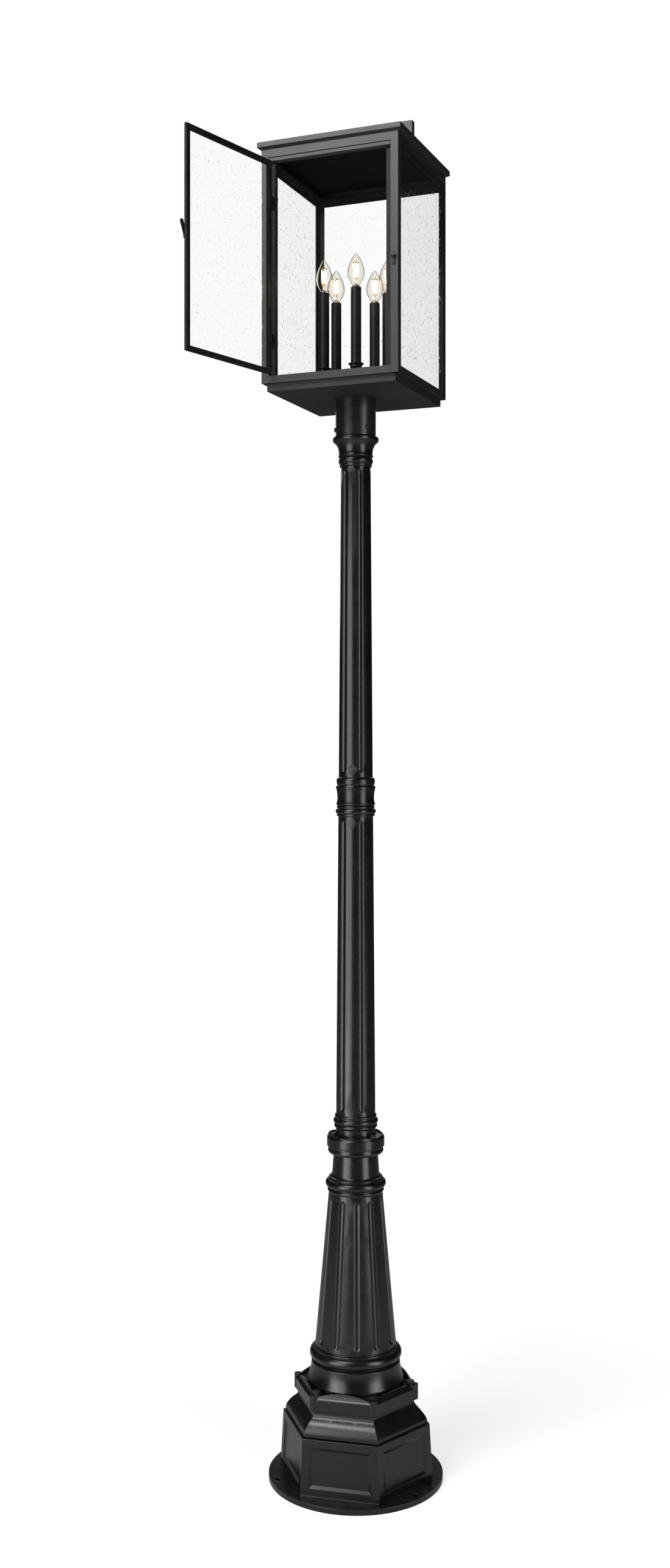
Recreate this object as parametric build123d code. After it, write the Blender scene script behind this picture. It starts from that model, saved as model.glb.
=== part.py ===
from build123d import *
import os
from math import atan, cos, degrees, hypot, radians, sin, tan

# Post top lantern on a cast post. Millimetres, +Z up, ground at z = 0, lantern front towards -Y.
# The row's origin is the centre of the anchor bolt circle on the underside of the base plate.

# ---------------------------------------------------------------- driving dimensions
# Cast base
BASE_PLATE_DIA = 356.0
BASE_PLATE_T = 11.0
ANCHOR_PCD = 326.0
ANCHOR_HOLE_DIA = 13.0
ANCHOR_COUNT = 3
POST_TURN = 8.0            # angle of the hexagon's corner and the shaft's flutes from the lantern's +X
HEX_FOOT_R = 160.0         # corner radius where the hexagon meets the plate
HEX_HEAD_R = 154.0         # corner radius at its top
HEX_H = 110.0
CAST_WALL = 6.0
PANEL_MARGIN = 15.0
PANEL_BEVEL = 6.0
PANEL_DEPTH = 3.0
# Ogee cap
CAP_SEAM = 2.0             # shadow gap between the hexagon and the cap
CAP_FOOT_R = 149.0
CAP_WAIST_R = 122.0
CAP_BAND_R = 130.0
CAP_OGEE_H = 46.0
CAP_BAND_H = 30.0
CAP_FACE_H = 23.0          # upright part of the band, under the cove
CAP_COVE = 6.5             # how far the arched rim leans in over the band
CAP_ARCH_RISE = 6.0        # crest of the arch above the corner ears
CAP_ARCH_DROP = 4.0        # foot of the arch below the corner ears
CAP_RIM_W = 3.0
CAP_EAR_R = 7.5
CAP_BOLT_EAR_R = 10.5
CAP_BOLT_R = 114.0
CAP_BOLTS = 3
CAP_BOLT_D = 8.0
CAP_BORE_R = 78.0
# Pedestal
SKIRT_FOOT_R = 98.8
SKIRT_HEAD_R = 90.5
SKIRT_H = 42.0
LOW_RING_H = 3.0           # drawn-in ring between the skirt and the torus
LOW_TORUS_R = 94.0
LOW_TORUS_H = 24.0
LOW_LIP_H = 6.0            # bead and groove between the torus and the cone
CONE_FOOT_R = 82.8
CONE_HEAD_R = 55.3
CONE_H = 310.0
TOP_RING_H = 9.2           # ring under the top torus
TOP_TORUS_R = 61.9
TOP_TORUS_H = 17.5
TOP_LIP_H = 9.8            # lip ring over it
NECK_FOOT_R = 48.5
NECK_HEAD_R = 45.3
NECK_H = 43.5
COLLAR_R = 58.8
COLLAR_H = 21.5
COLLAR_CUP_H = 13.5
COLLAR_WALL = 4.0
COLLAR_ARCHES = 6
COLLAR_ARCH_RISE = 3.0     # crest of each arched rim above the collar's cusps
COLLAR_COVE = 2.5
FLANGE_DEPTH = 6.5         # foot flange's seat below the collar's cusps
PEDESTAL_FLUTES = 12
# Post shafts
LOWER_FOOT_R = 40.2
LOWER_HEAD_R = 35.7
UPPER_FOOT_R = 34.9
UPPER_HEAD_R = 30.6
LOWER_SHAFT_H = 609.0
UPPER_SHAFT_H = 633.0
FOOT_RINGS_H = 50.5        # lower post, from its flange's seat to the fluted shaft
HEAD_RINGS_H = 23.0        # lower post, from the fluted shaft to the joint
UPPER_RINGS_H = 59.0       # upper post, from the joint to the fluted shaft
SHAFT_WALL = 5.0
SHAFT_FLUTES = 6
FLUTE_W = 14.0
FLUTE_DEPTH = 3.0
FLUTE_MARGIN = 15.5        # from the end of the tapered wall to the middle of a flute's round end
SPIGOT_L = 60.0
SPIGOT_CLEAR = 0.25
FLANGE_T = 6.0
FLANGE_BOSS_H = 2.0
FLANGE_BOLT_HEAD = 6.2     # corner radius of the head, and of the boss under it
FLANGE_BOLT_R = 48.0
FLANGE_BOLT_D = 7.0
FLANGE_BOLTS = 3
COLLAR_TURN = -24.0        # direction of the collar's first cusp and bolt
# Capital and fitter
TENON_DIA = 76.2           # three inch post top
TENON_H = 75.5
TENON_WALL = 5.0
CAPITAL_LIP_R = 47.4
CAPITAL_H = 61.0
FITTER_SLIP = 0.6
FITTER_WALL = 3.0
FITTER_GAP = 0.5           # fitter's lower edge above the capital's lip
SEAT_GAP = 0.3             # between pieces that rest on each other but turn
SET_SCREW_D = 6.0
SET_SCREW_Z = 15.0         # above the fitter's lower edge
SET_SCREW_TURN = -35.0
# Lantern body
FRAME_H = 451.0            # corner posts, from under the bottom rails to the fascia
PAN_INSET = 8.5            # pan's sides inside the frame's faces
PAN_H = 15.0
PAN_T = 1.5
POST_LEG = 16.0
SHEET_T = 2.0
RAIL_H = 14.5
TOP_RAIL_H = 12.5
TOP_GROOVE = 1.5
HEADER_H = 6.5
JAMB_FACE = 11.5
JAMB_DEPTH = 10.5
JAMB_T = 1.5
DOOR_RECESS = 8.0
FLOOR_T = 1.5
GLASS_T = 3.0
GLASS_CLEAR = 0.25
CLIP_W = 12.0
CLIP_T = 1.0
CLIP_H = 9.0
# Roof
ROOF_W = 304.8
EAVE = 6.9                 # roof's reach past the frame's faces
ROOF_EDGE_H = 10.0
ROOF_T = 1.5
SOFFIT_DROP = 4.0
FASCIA_H = 16.5
FASCIA_FLANGE = 50.0
CEILING_T = 1.0
HANDLE_INSET = 27.4        # handle's ends inside the roof's sides
HANDLE_H = 57.0
HANDLE_BAR = 16.0
HANDLE_T = 14.0
# Door
DOOR_T = 5.5
DOOR_SHEET = 1.2
DOOR_STILE = 11.0
DOOR_GAP = 1.8             # at each stile: two hinge leaves and their clearance
DOOR_END_GAP = 1.0         # above and below the door
DOOR_OPEN = 104.0          # how far the door stands open in the rest pose
DOOR_GLASS_T = 2.4
BEAD_W = 9.0
LEAF_T = 0.8
LEAF_H = 26.0
LEAF_FLANGE = 8.5
HINGE_R = 2.4
HINGE_PIN_R = 1.2
PIN_CLEAR = 0.05
KNUCKLE_GAP = 0.3
HINGE_INSET = 75.0         # hinge centre from the door's top and bottom
LEAF_SCREW_PITCH = 15.0
LEAF_SCREW_R = 1.3
LEAF_SCREW_BITE = 1.1      # past the leaf, into what it holds
LEAF_SCREW_HEAD = 0.35
LATCH_LEN = 33.0
LATCH_W = 7.0
LATCH_PAD_W = 9.0
LATCH_T = 2.0
LATCH_STANDOFF = 1.5
LATCH_TILT = 20.0          # lever's lean from upright in the rest pose
LATCH_Z = 230.5            # pivot above the frame's underside
LATCH_PIVOT_R = 1.6
KEEPER_W = 8.0
KEEPER_H = 17.0
KEEPER_T = 1.5
KEEPER_TAB = 7.0
KEEPER_LIP = 7.5
KEEPER_SCREW_R = 1.25
# Candle cluster
CANDLES = 5
CANDLE_PCR = 68.0          # radius of the candle circle
CANDLE_TURN = -68.0        # direction of the candle that stands nearest the viewer
HUB_R = 28.0
HUB_H = 40.0
HUB_WALL = 1.5
ARM_BEND = 12.0            # bend radius of the arms
ARM_R = 4.0
ARM_Z = 22.0
CUP_Z = 34.0
CUP_R = 12.0
CUP_LIP_R = 15.5
CUP_H = 9.0
CUP_FLOOR = 1.5
SLEEVE_R = 10.5
SLEEVE_WALL = 1.0
SLEEVE_H = 160.5
HOLDER_R = 8.8
HOLDER_H = 58.0
HOLDER_STEM_R = 4.5
CAP_THREAD_R = 5.9
CAP_COLLAR_R = 7.4
CAP_LEN = 22.0
CAP_SHOW = 3.0             # brass collar that stands above the sleeve
BULB_R = 17.3
BULB_H = 66.0
BULB_NECK_R = 8.2
BULB_WALL = 0.8
BULB_BELLY_Z = 26.0        # widest level of the glass above its cap
BULB_STEM_H = 15.0
FILAMENTS = 4
FILAMENT_LEN = 32.0
FILAMENT_R = 0.9
FILAMENT_CIRCLE = 4.6
NIPPLE_R = 4.8
NIPPLE_BORE_R = 3.6
NUT_R = 8.5                # across corners
NUT_H = 5.0
FIT = 0.25                 # slip between a fixed piece and its hole

# ---------------------------------------------------------------- levels worked out from them
HEX_TOP = BASE_PLATE_T + HEX_H
CAP_Z = HEX_TOP + CAP_SEAM
BAND_Z = CAP_Z + CAP_OGEE_H
CAP_TOP = BAND_Z + CAP_BAND_H
SKIRT_Z = CAP_TOP
LOW_TORUS_Z = SKIRT_Z + SKIRT_H + LOW_RING_H
CONE_Z = LOW_TORUS_Z + LOW_TORUS_H + LOW_LIP_H
CONE_TOP = CONE_Z + CONE_H
TOP_TORUS_Z = CONE_TOP + TOP_RING_H
NECK_Z = TOP_TORUS_Z + TOP_TORUS_H + TOP_LIP_H
CUP_START = NECK_Z + NECK_H
COLLAR_Z = CUP_START + COLLAR_CUP_H
COLLAR_TOP = COLLAR_Z + COLLAR_H
FLANGE_Z = COLLAR_TOP - FLANGE_DEPTH
LOWER_FOOT_Z = FLANGE_Z + FOOT_RINGS_H
LOWER_SHAFT_TOP = LOWER_FOOT_Z + LOWER_SHAFT_H
JOINT_Z = LOWER_SHAFT_TOP + HEAD_RINGS_H
UPPER_FOOT_Z = JOINT_Z + UPPER_RINGS_H
UPPER_SHAFT_TOP = UPPER_FOOT_Z + UPPER_SHAFT_H
CAPITAL_TOP = UPPER_SHAFT_TOP + CAPITAL_H
FITTER_Z = CAPITAL_TOP + FITTER_GAP
PAN_Z = CAPITAL_TOP + TENON_H + SEAT_GAP + FITTER_WALL
FRAME_Z = PAN_Z + PAN_H
FASCIA_Z = FRAME_Z + FRAME_H
EAVE_Z = FASCIA_Z + FASCIA_H + SOFFIT_DROP
ROOF_Z = EAVE_Z + ROOF_EDGE_H
BODY_W = ROOF_W - 2 * EAVE
HALF = BODY_W / 2
INNER = HALF - POST_LEG                      # half width between the corner posts
FACE = HALF - SHEET_T                        # inside of the rails' faces
HEADER_Z = FASCIA_Z - TOP_GROOVE - HEADER_H
DOOR_FOOT = FRAME_Z + RAIL_H + DOOR_END_GAP
DOOR_HEAD = HEADER_Z - DOOR_END_GAP
DOOR_W = 2 * INNER - 2 * DOOR_GAP
JAMB_Y = -HALF + DOOR_RECESS
HINGE_X = -INNER + DOOR_GAP / 2
HINGE_Y = -HALF - HINGE_R - SEAT_GAP
PANE_IN = FACE - GLASS_CLEAR - GLASS_T       # inside of the fixed panes
FASCIA_TOP = FASCIA_Z + FASCIA_H
CUP_BASE = FRAME_Z + CUP_Z
SLEEVE_Z = CUP_BASE + CUP_FLOOR
SLEEVE_TOP = SLEEVE_Z + SLEEVE_H
BULB_Z = SLEEVE_TOP + CAP_SHOW
HOLDER_TOP = SLEEVE_TOP - 2.0
HUB_TOP = FRAME_Z + SHEET_T + FLOOR_T + HUB_H


# ---------------------------------------------------------------- shared shapes
def save(name, *solids):
    """Write one sub-part; several solids stay separate inside it."""
    shape = solids[0] if len(solids) == 1 else Compound(children=list(solids))
    export_step(shape, f"parts/{name}.step")


def block(x0, x1, y0, y1, z0, z1):
    """Box between two corners."""
    size = Box(abs(x1 - x0), abs(y1 - y0), abs(z1 - z0), align=(Align.MIN, Align.MIN, Align.MIN))
    return Pos(min(x0, x1), min(y0, y1), min(z0, z1)) * size


def turned(*steps):
    """Revolve a closed (r, z) outline; a third number bulges its step to the right of travel."""
    edges = []
    here = steps[0][:2]
    for step in steps[1:] + (steps[0][:2],):
        there = step[:2]
        bulge = step[2] if len(step) > 2 else 0
        edges.append(SagittaArc(here, there, -bulge) if bulge else Line(here, there))
        here = there
    return revolve(Plane.XZ * make_face(Curve() + edges), Axis.Z)


def rod(r, z0, z1):
    """Upright cylinder on the z axis."""
    return Pos(0, 0, z0) * Cylinder(r, z1 - z0, align=(Align.CENTER, Align.CENTER, Align.MIN))


def tube(outer, inner, z0, z1):
    """Upright tube on the z axis."""
    return rod(outer, z0, z1) - rod(inner, z0 - 1, z1 + 1)


def spun(shape, count, first=0.0):
    """Copies of a shape turned about the z axis."""
    return [Rot(0, 0, first + 360 * i / count) * shape for i in range(count)]


def bolt(r, grip, head_r, head_h):
    """Hex-head bolt hanging down from z = 0, where its head seats."""
    head = extrude(RegularPolygon(head_r, 6), head_h)
    return head + rod(r, -grip, 0)


def pan_screw(r, length, head_r, head_h):
    """Round-head slotted screw hanging down from z = 0, where its head seats."""
    dome = turned((0, 0), (head_r, 0), (head_r * 0.7, head_h, 0.25), (0, head_h))
    slot = Box(3 * head_r, head_r * 0.3, head_h, align=(Align.CENTER, Align.CENTER, Align.MIN))
    return dome - Pos(0, 0, head_h * 0.55) * slot + rod(r, -length, 0)


def flute(foot, head, width, depth):
    """Cutter for a round-ended groove between two (r, z) points of a tapered wall."""
    radius = (width * width / 4 + depth * depth) / (2 * depth)
    lift = radius - depth
    run = hypot(head[0] - foot[0], head[1] - foot[1])
    lean = degrees(atan((foot[0] - head[0]) / (head[1] - foot[1])))
    groove = rod(radius, 0, run) + Sphere(radius) + Pos(0, 0, run) * Sphere(radius)
    return Pos(foot[0] + lift, 0, foot[1]) * Rot(0, -lean, 0) * groove


def fluted_wall(foot, head):
    """Profile of a tapered wall: its two ends and, between them, the levels where its flutes end."""
    share = FLUTE_MARGIN / (head[1] - foot[1])
    slope = head[0] - foot[0]
    low = (foot[0] + slope * share, foot[1] + FLUTE_MARGIN)
    high = (head[0] - slope * share, head[1] - FLUTE_MARGIN)
    return foot, low, high, head


def flutes(wall, count, first):
    """Ring of flute cutters, each ending a margin short of the mouldings."""
    return spun(flute(wall[1], wall[2], FLUTE_W, FLUTE_DEPTH), count, first)


# ---------------------------------------------------------------- cast post
def hexagon(r, z):
    """Hexagon with corners on a circle, at a height."""
    return Pos(0, 0, z) * (Rot(0, 0, POST_TURN) * RegularPolygon(r, 6))


def base_casting():
    """Round plate and hollow panelled hexagon in one casting, with three bosses for the cap bolts."""
    flat = cos(radians(30))
    shell = loft([hexagon(HEX_FOOT_R, BASE_PLATE_T), hexagon(HEX_HEAD_R, HEX_TOP)])
    foot_in = HEX_FOOT_R - CAST_WALL / flat
    head_in = HEX_HEAD_R - CAST_WALL / flat
    plate = rod(BASE_PLATE_DIA / 2, 0, BASE_PLATE_T)
    hollow = loft([hexagon(foot_in + 0.5, -1), hexagon(head_in, HEX_TOP - CAST_WALL)])
    mouth = rod(CAP_BOLT_R - 16, HEX_TOP - CAST_WALL - 1, HEX_TOP + 1)
    body = plate + shell - hollow - mouth
    lean = degrees(atan((HEX_FOOT_R - HEX_HEAD_R) * flat / HEX_H))
    face_w = (HEX_FOOT_R + HEX_HEAD_R) / 2 - 2 * PANEL_MARGIN
    face_h = HEX_H - 2 * PANEL_MARGIN
    wide = Pos(0, 0, 0.01) * Rectangle(face_w, face_h)
    deep = Pos(0, 0, -PANEL_DEPTH) * Rectangle(face_w - 2 * PANEL_BEVEL, face_h - 2 * PANEL_BEVEL)
    recess = Rot(0, 0, 90) * loft([wide, deep])
    middle_r = (HEX_FOOT_R + HEX_HEAD_R) / 2 * flat
    recess = Pos(middle_r, 0, BASE_PLATE_T + HEX_H / 2) * Rot(0, 90 - lean, 0) * recess
    body -= spun(recess, 6, POST_TURN + 30)
    boss = block(CAP_BOLT_R - 13, head_in - 4, -11, 11, HEX_TOP - 36, HEX_TOP - CAST_WALL / 2)
    body += spun(boss, CAP_BOLTS, POST_TURN)
    hole = Pos(CAP_BOLT_R, 0, HEX_TOP - 30) * Cylinder(CAP_BOLT_D / 2 + FIT, 80)
    body -= spun(hole, CAP_BOLTS, POST_TURN)
    anchor = Pos(ANCHOR_PCD / 2, 0, 0) * Cylinder(ANCHOR_HOLE_DIA / 2, 4 * BASE_PLATE_T)
    return body - spun(anchor, ANCHOR_COUNT, POST_TURN - 30)


def above_arch(span, foot, crest, near, far):
    """Space over an arch that spans a face square to +X, from one radius out to another."""
    half, over = span / 2, crest + 20
    gap = Curve() + [
        ThreePointArc((-half, foot), (0, crest), (half, foot)),
        Line((half, foot), (span, foot)),
        Line((span, foot), (span, over)),
        Line((span, over), (-span, over)),
        Line((-span, over), (-span, foot)),
        Line((-span, foot), (-half, foot)),
    ]
    return Pos(near, 0, 0) * extrude(Plane.YZ * make_face(gap), far - near)


def wedge(count, reach, top):
    """One of a number of equal sectors, centred on +X."""
    half = reach * tan(radians(180 / count))
    return extrude(make_face(Polyline((0, 0), (reach, -half), (reach, half), close=True)), top)


def base_cap():
    """Hexagonal ogee cap: one mitred sector with a coved, arched rim, repeated six times."""
    flat = cos(radians(30))
    foot, waist, band = CAP_FOOT_R * flat, CAP_WAIST_R * flat, CAP_BAND_R * flat
    top = CAP_TOP + CAP_ARCH_RISE
    cove = BAND_Z + CAP_FACE_H
    rim = band - CAP_COVE - CAP_RIM_W
    deck = CAP_TOP - CAP_ARCH_DROP
    swell = CAP_FOOT_R - CAP_WAIST_R
    side = Curve() + [
        Line((0, CAP_Z), (foot, CAP_Z)),
        Line((foot, CAP_Z), (foot, CAP_Z + 3)),
        Spline((foot, CAP_Z + 3), (foot - 0.13 * swell, CAP_Z + 0.30 * CAP_OGEE_H),
               (foot - 0.55 * swell, CAP_Z + 0.60 * CAP_OGEE_H), (waist, BAND_Z - 3),
               tangents=((0, 1), (0, 1))),
        Line((waist, BAND_Z - 3), (waist, BAND_Z)),
        Line((waist, BAND_Z), (band - 1, BAND_Z)),
        Line((band - 1, BAND_Z), (band, BAND_Z + 1)),
        Line((band, BAND_Z + 1), (band, cove)),
        SagittaArc((band, cove), (band - CAP_COVE, top), 1.5),
        Line((band - CAP_COVE, top), (rim, top)),
        Line((rim, top), (rim, deck)),
        Line((rim, deck), (0, deck)),
        Line((0, deck), (0, CAP_Z)),
    ]
    run = extrude(Plane.XZ * make_face(side), CAP_FOOT_R, both=True)
    sector = run & wedge(6, 2 * CAP_FOOT_R, top + 1)
    sector -= above_arch(CAP_BAND_R - 2 * CAP_EAR_R, deck, top, rim - 1, band + 1)
    body = Part() + spun(sector, 6, POST_TURN + 30)
    for radius, count, first in ((CAP_EAR_R, 6, POST_TURN), (CAP_BOLT_EAR_R, CAP_BOLTS, POST_TURN)):
        ear = Pos(CAP_BAND_R - radius, 0, 0) * rod(radius, BAND_Z + 1, CAP_TOP)
        body += spun(ear, count, first)
    body += rod(SKIRT_FOOT_R - 3, deck - 1, CAP_TOP)
    body -= turned((0, CAP_Z - 1), (CAP_BOLT_R - 16, CAP_Z - 1), (CAP_BOLT_R - 16, BAND_Z),
                   (CAP_BORE_R, BAND_Z + 14), (CAP_BORE_R, top + 1), (0, top + 1))
    hole = Pos(CAP_BOLT_R, 0, 0) * rod(CAP_BOLT_D / 2 + FIT, CAP_Z - 1, top + 1)
    return body - spun(hole, CAP_BOLTS, POST_TURN)


def base_cap_bolts():
    """Three hex bolts that hold the cap down on the hexagon."""
    one = Pos(CAP_BOLT_R, 0, CAP_TOP) * bolt(CAP_BOLT_D / 2, CAP_TOP - HEX_TOP + 28, 8.5, 6.5)
    return spun(one, CAP_BOLTS, POST_TURN)


def pedestal():
    """Hollow fluted cone with its skirt, two rolled tori, neck, cup and arched collar."""
    wall = CAST_WALL
    crest = COLLAR_TOP + COLLAR_ARCH_RISE
    cone = fluted_wall((CONE_FOOT_R, CONE_Z), (CONE_HEAD_R, CONE_TOP))
    low_lip = LOW_TORUS_Z + LOW_TORUS_H
    lip = TOP_TORUS_Z + TOP_TORUS_H
    low_bulge = LOW_TORUS_H / 2 - 2
    top_bulge = TOP_TORUS_H / 2 - 2
    outer = [
        (SKIRT_FOOT_R, SKIRT_Z), (SKIRT_FOOT_R, SKIRT_Z + 6),
        (SKIRT_HEAD_R, SKIRT_Z + SKIRT_H, -2.0), (SKIRT_HEAD_R - 3, SKIRT_Z + SKIRT_H + 1.5),
        (LOW_TORUS_R - low_bulge, LOW_TORUS_Z - 1), (LOW_TORUS_R - low_bulge, LOW_TORUS_Z),
        (LOW_TORUS_R - low_bulge, low_lip, low_bulge),
        (CONE_FOOT_R + 2.2, low_lip + 0.3), (CONE_FOOT_R + 1.2, CONE_Z - 2.8, 0.8),
        (CONE_FOOT_R - 2, CONE_Z - 2.6), (CONE_FOOT_R - 2, CONE_Z - 0.4),
        *cone,
        (CONE_HEAD_R + 1, CONE_TOP + 2), (CONE_HEAD_R + 1, TOP_TORUS_Z - 2, 1.6),
        (TOP_TORUS_R - top_bulge, TOP_TORUS_Z), (TOP_TORUS_R - top_bulge, lip, top_bulge),
        (CONE_HEAD_R - 1.2, lip + 1), (CONE_HEAD_R - 1.2, lip + 5, 1.4),
        (NECK_FOOT_R, NECK_Z, -1.5), (NECK_HEAD_R, CUP_START),
        (COLLAR_R - 3, COLLAR_Z - 4, 6.0), (COLLAR_R - 3, COLLAR_Z),
        (COLLAR_R, COLLAR_Z + 1), (COLLAR_R, COLLAR_TOP - 3),
        (COLLAR_R - COLLAR_COVE, crest, -0.6), (COLLAR_R - COLLAR_WALL, crest),
        (COLLAR_R - COLLAR_WALL, FLANGE_Z),
    ]
    bore = LOWER_FOOT_R - SHAFT_WALL
    inner = [
        (bore + SPIGOT_CLEAR, FLANGE_Z), (bore + SPIGOT_CLEAR, NECK_Z),
        (CONE_HEAD_R - wall - FLUTE_DEPTH, CONE_TOP - 6), (CONE_FOOT_R - wall - FLUTE_DEPTH, CONE_Z),
        (CAP_BORE_R - wall - FIT, SKIRT_Z + 8), (CAP_BORE_R - wall - FIT, SKIRT_Z - 8),
        (CAP_BORE_R - FIT, SKIRT_Z - 8), (CAP_BORE_R - FIT, SKIRT_Z),
    ]
    body = turned(*outer, *inner)
    body -= flutes(cone, PEDESTAL_FLUTES, POST_TURN + 15)
    span = 2 * COLLAR_R * sin(radians(180 / COLLAR_ARCHES))
    over = above_arch(span, COLLAR_TOP, crest + 0.2, 1, COLLAR_R + 1)
    over &= wedge(COLLAR_ARCHES, 2 * COLLAR_R, 2 * COLLAR_TOP)
    body -= spun(over, COLLAR_ARCHES, COLLAR_TURN + 180 / COLLAR_ARCHES)
    hole = Pos(FLANGE_BOLT_R, 0, FLANGE_Z) * Cylinder(FLANGE_BOLT_D / 2 + FIT, 40)
    return body - spun(hole, FLANGE_BOLTS, COLLAR_TURN)


def flange_bolts():
    """Three hex bolts in the collar that hold the lower post's foot flange."""
    seat = FLANGE_Z + FLANGE_T + FLANGE_BOSS_H
    one = Pos(FLANGE_BOLT_R, 0, seat) * bolt(FLANGE_BOLT_D / 2, 18, FLANGE_BOLT_HEAD, 5.5)
    return spun(one, FLANGE_BOLTS, COLLAR_TURN)


def lower_post():
    """Fluted tapering tube with a bolted foot flange, foot rings, head moulding and spigot."""
    shaft = fluted_wall((LOWER_FOOT_R, LOWER_FOOT_Z), (LOWER_HEAD_R, LOWER_SHAFT_TOP))
    rings = LOWER_FOOT_Z - 30
    spigot = UPPER_FOOT_R - SHAFT_WALL - SPIGOT_CLEAR
    bore = LOWER_FOOT_R - SHAFT_WALL
    body = turned(
        (LOWER_FOOT_R + 0.6, FLANGE_Z + FLANGE_T), (LOWER_FOOT_R + 0.6, rings),
        (LOWER_FOOT_R + 2.6, rings + 3, -1.0), (LOWER_FOOT_R + 3.4, rings + 8, 1.0),
        (LOWER_FOOT_R + 1.6, rings + 10), (LOWER_FOOT_R + 1.6, rings + 22, 4.0),
        (LOWER_FOOT_R + 1.4, rings + 24), (LOWER_FOOT_R + 1.4, rings + 29, 1.2),
        *shaft,
        (LOWER_HEAD_R + 2.6, LOWER_SHAFT_TOP + 0.5), (LOWER_HEAD_R + 2.6, LOWER_SHAFT_TOP + 4, 0.8),
        (LOWER_HEAD_R + 2.4, LOWER_SHAFT_TOP + 5), (LOWER_HEAD_R + 2.4, LOWER_SHAFT_TOP + 16, 3.2),
        (LOWER_HEAD_R + 2.2, LOWER_SHAFT_TOP + 17), (LOWER_HEAD_R + 2.2, JOINT_Z - 1.5, 1.0),
        (LOWER_HEAD_R + 1.0, JOINT_Z), (spigot, JOINT_Z),
        (spigot, JOINT_Z + SPIGOT_L - 2), (spigot - 2, JOINT_Z + SPIGOT_L),
        (spigot - SHAFT_WALL, JOINT_Z + SPIGOT_L), (spigot - SHAFT_WALL, LOWER_SHAFT_TOP),
        (LOWER_HEAD_R - SHAFT_WALL - 1, LOWER_SHAFT_TOP - 40),
        (bore - SHAFT_WALL, LOWER_FOOT_Z), (bore - SHAFT_WALL, FLANGE_Z - 40),
        (bore, FLANGE_Z - 40), (bore, FLANGE_Z), (COLLAR_R - COLLAR_WALL - FIT, FLANGE_Z),
        (COLLAR_R - COLLAR_WALL - FIT, FLANGE_Z + FLANGE_T),
    )
    body -= flutes(shaft, SHAFT_FLUTES, POST_TURN)
    boss = rod(FLANGE_BOLT_HEAD, FLANGE_Z + FLANGE_T - 1, FLANGE_Z + FLANGE_T + FLANGE_BOSS_H)
    body += spun(Pos(FLANGE_BOLT_R, 0, 0) * boss, FLANGE_BOLTS, COLLAR_TURN)
    hole = Pos(FLANGE_BOLT_R, 0, FLANGE_Z) * Cylinder(FLANGE_BOLT_D / 2 + FIT, 4 * FLANGE_T)
    return body - spun(hole, FLANGE_BOLTS, COLLAR_TURN)


def upper_post():
    """Fluted tapering tube whose moulded foot slips over the lower post's spigot."""
    shaft = fluted_wall((UPPER_FOOT_R, UPPER_FOOT_Z), (UPPER_HEAD_R, UPPER_SHAFT_TOP))
    seat = JOINT_Z
    bore = UPPER_FOOT_R - SHAFT_WALL
    body = turned(
        (bore, seat), (LOWER_HEAD_R + 3.6, seat), (LOWER_HEAD_R + 4.2, seat + 2.5),
        (UPPER_FOOT_R + 2.8, seat + 19, -1.0), (UPPER_FOOT_R + 5.6, seat + 35, -0.6),
        (UPPER_FOOT_R + 2.8, seat + 41, 0.8), (UPPER_FOOT_R + 4.3, seat + 48.5, 0.5),
        (UPPER_FOOT_R + 0.4, seat + 57, 1.6),
        *shaft,
        (UPPER_HEAD_R - SHAFT_WALL, UPPER_SHAFT_TOP),
        (UPPER_HEAD_R - SHAFT_WALL, UPPER_SHAFT_TOP - SPIGOT_L - 10),
        (bore - SHAFT_WALL / 2, seat + SPIGOT_L + 12), (bore, seat + SPIGOT_L + 6),
    )
    return body - flutes(shaft, SHAFT_FLUTES, POST_TURN)


def post_capital():
    """Flared capital with bead, the three inch tenon above it and the spigot below."""
    z = UPPER_SHAFT_TOP
    tenon = TENON_DIA / 2
    spigot = UPPER_HEAD_R - SHAFT_WALL - SPIGOT_CLEAR
    return turned(
        (UPPER_HEAD_R, z), (UPPER_HEAD_R + 2.4, z + 2, 0.8), (UPPER_HEAD_R + 2.2, z + 4.5, 0.6),
        (UPPER_HEAD_R + 1.6, z + 5.5), (UPPER_HEAD_R + 1.6, z + 19, 3.6),
        (UPPER_HEAD_R + 4.4, z + 20.5), (UPPER_HEAD_R + 4.8, z + 24, 0.8),
        (CAPITAL_LIP_R - 1, z + CAPITAL_H - 9, -4.0), (CAPITAL_LIP_R, z + CAPITAL_H - 5, 0.5),
        (CAPITAL_LIP_R - 3.5, z + CAPITAL_H, 1.6), (tenon, z + CAPITAL_H),
        (tenon, z + CAPITAL_H + TENON_H - 2), (tenon - 2, z + CAPITAL_H + TENON_H),
        (tenon - TENON_WALL, z + CAPITAL_H + TENON_H), (tenon - TENON_WALL, z + CAPITAL_H - 6),
        (spigot - SHAFT_WALL, z + 12), (spigot - SHAFT_WALL, z - SPIGOT_L),
        (spigot, z - SPIGOT_L), (spigot, z),
    )


# ---------------------------------------------------------------- lantern body
def facing(shape, turn):
    """Turn a piece made for the front onto another side: 90 right, 180 back, 270 left."""
    return Rot(0, 0, turn) * shape


def fitter():
    """Cup that drops over the tenon: tube, top plate, set screw holes."""
    inside = TENON_DIA / 2 + FITTER_SLIP
    body = tube(inside + FITTER_WALL, inside, FITTER_Z, PAN_Z)
    body += tube(inside + FITTER_WALL / 2, NIPPLE_R + FIT, PAN_Z - FITTER_WALL, PAN_Z)
    hole = Rot(0, 90, 0) * Cylinder(SET_SCREW_D / 2 + FIT, 20)
    hole = Pos(inside + FITTER_WALL / 2, 0, FITTER_Z + SET_SCREW_Z) * hole
    return body - spun(hole, 3, SET_SCREW_TURN)


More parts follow.
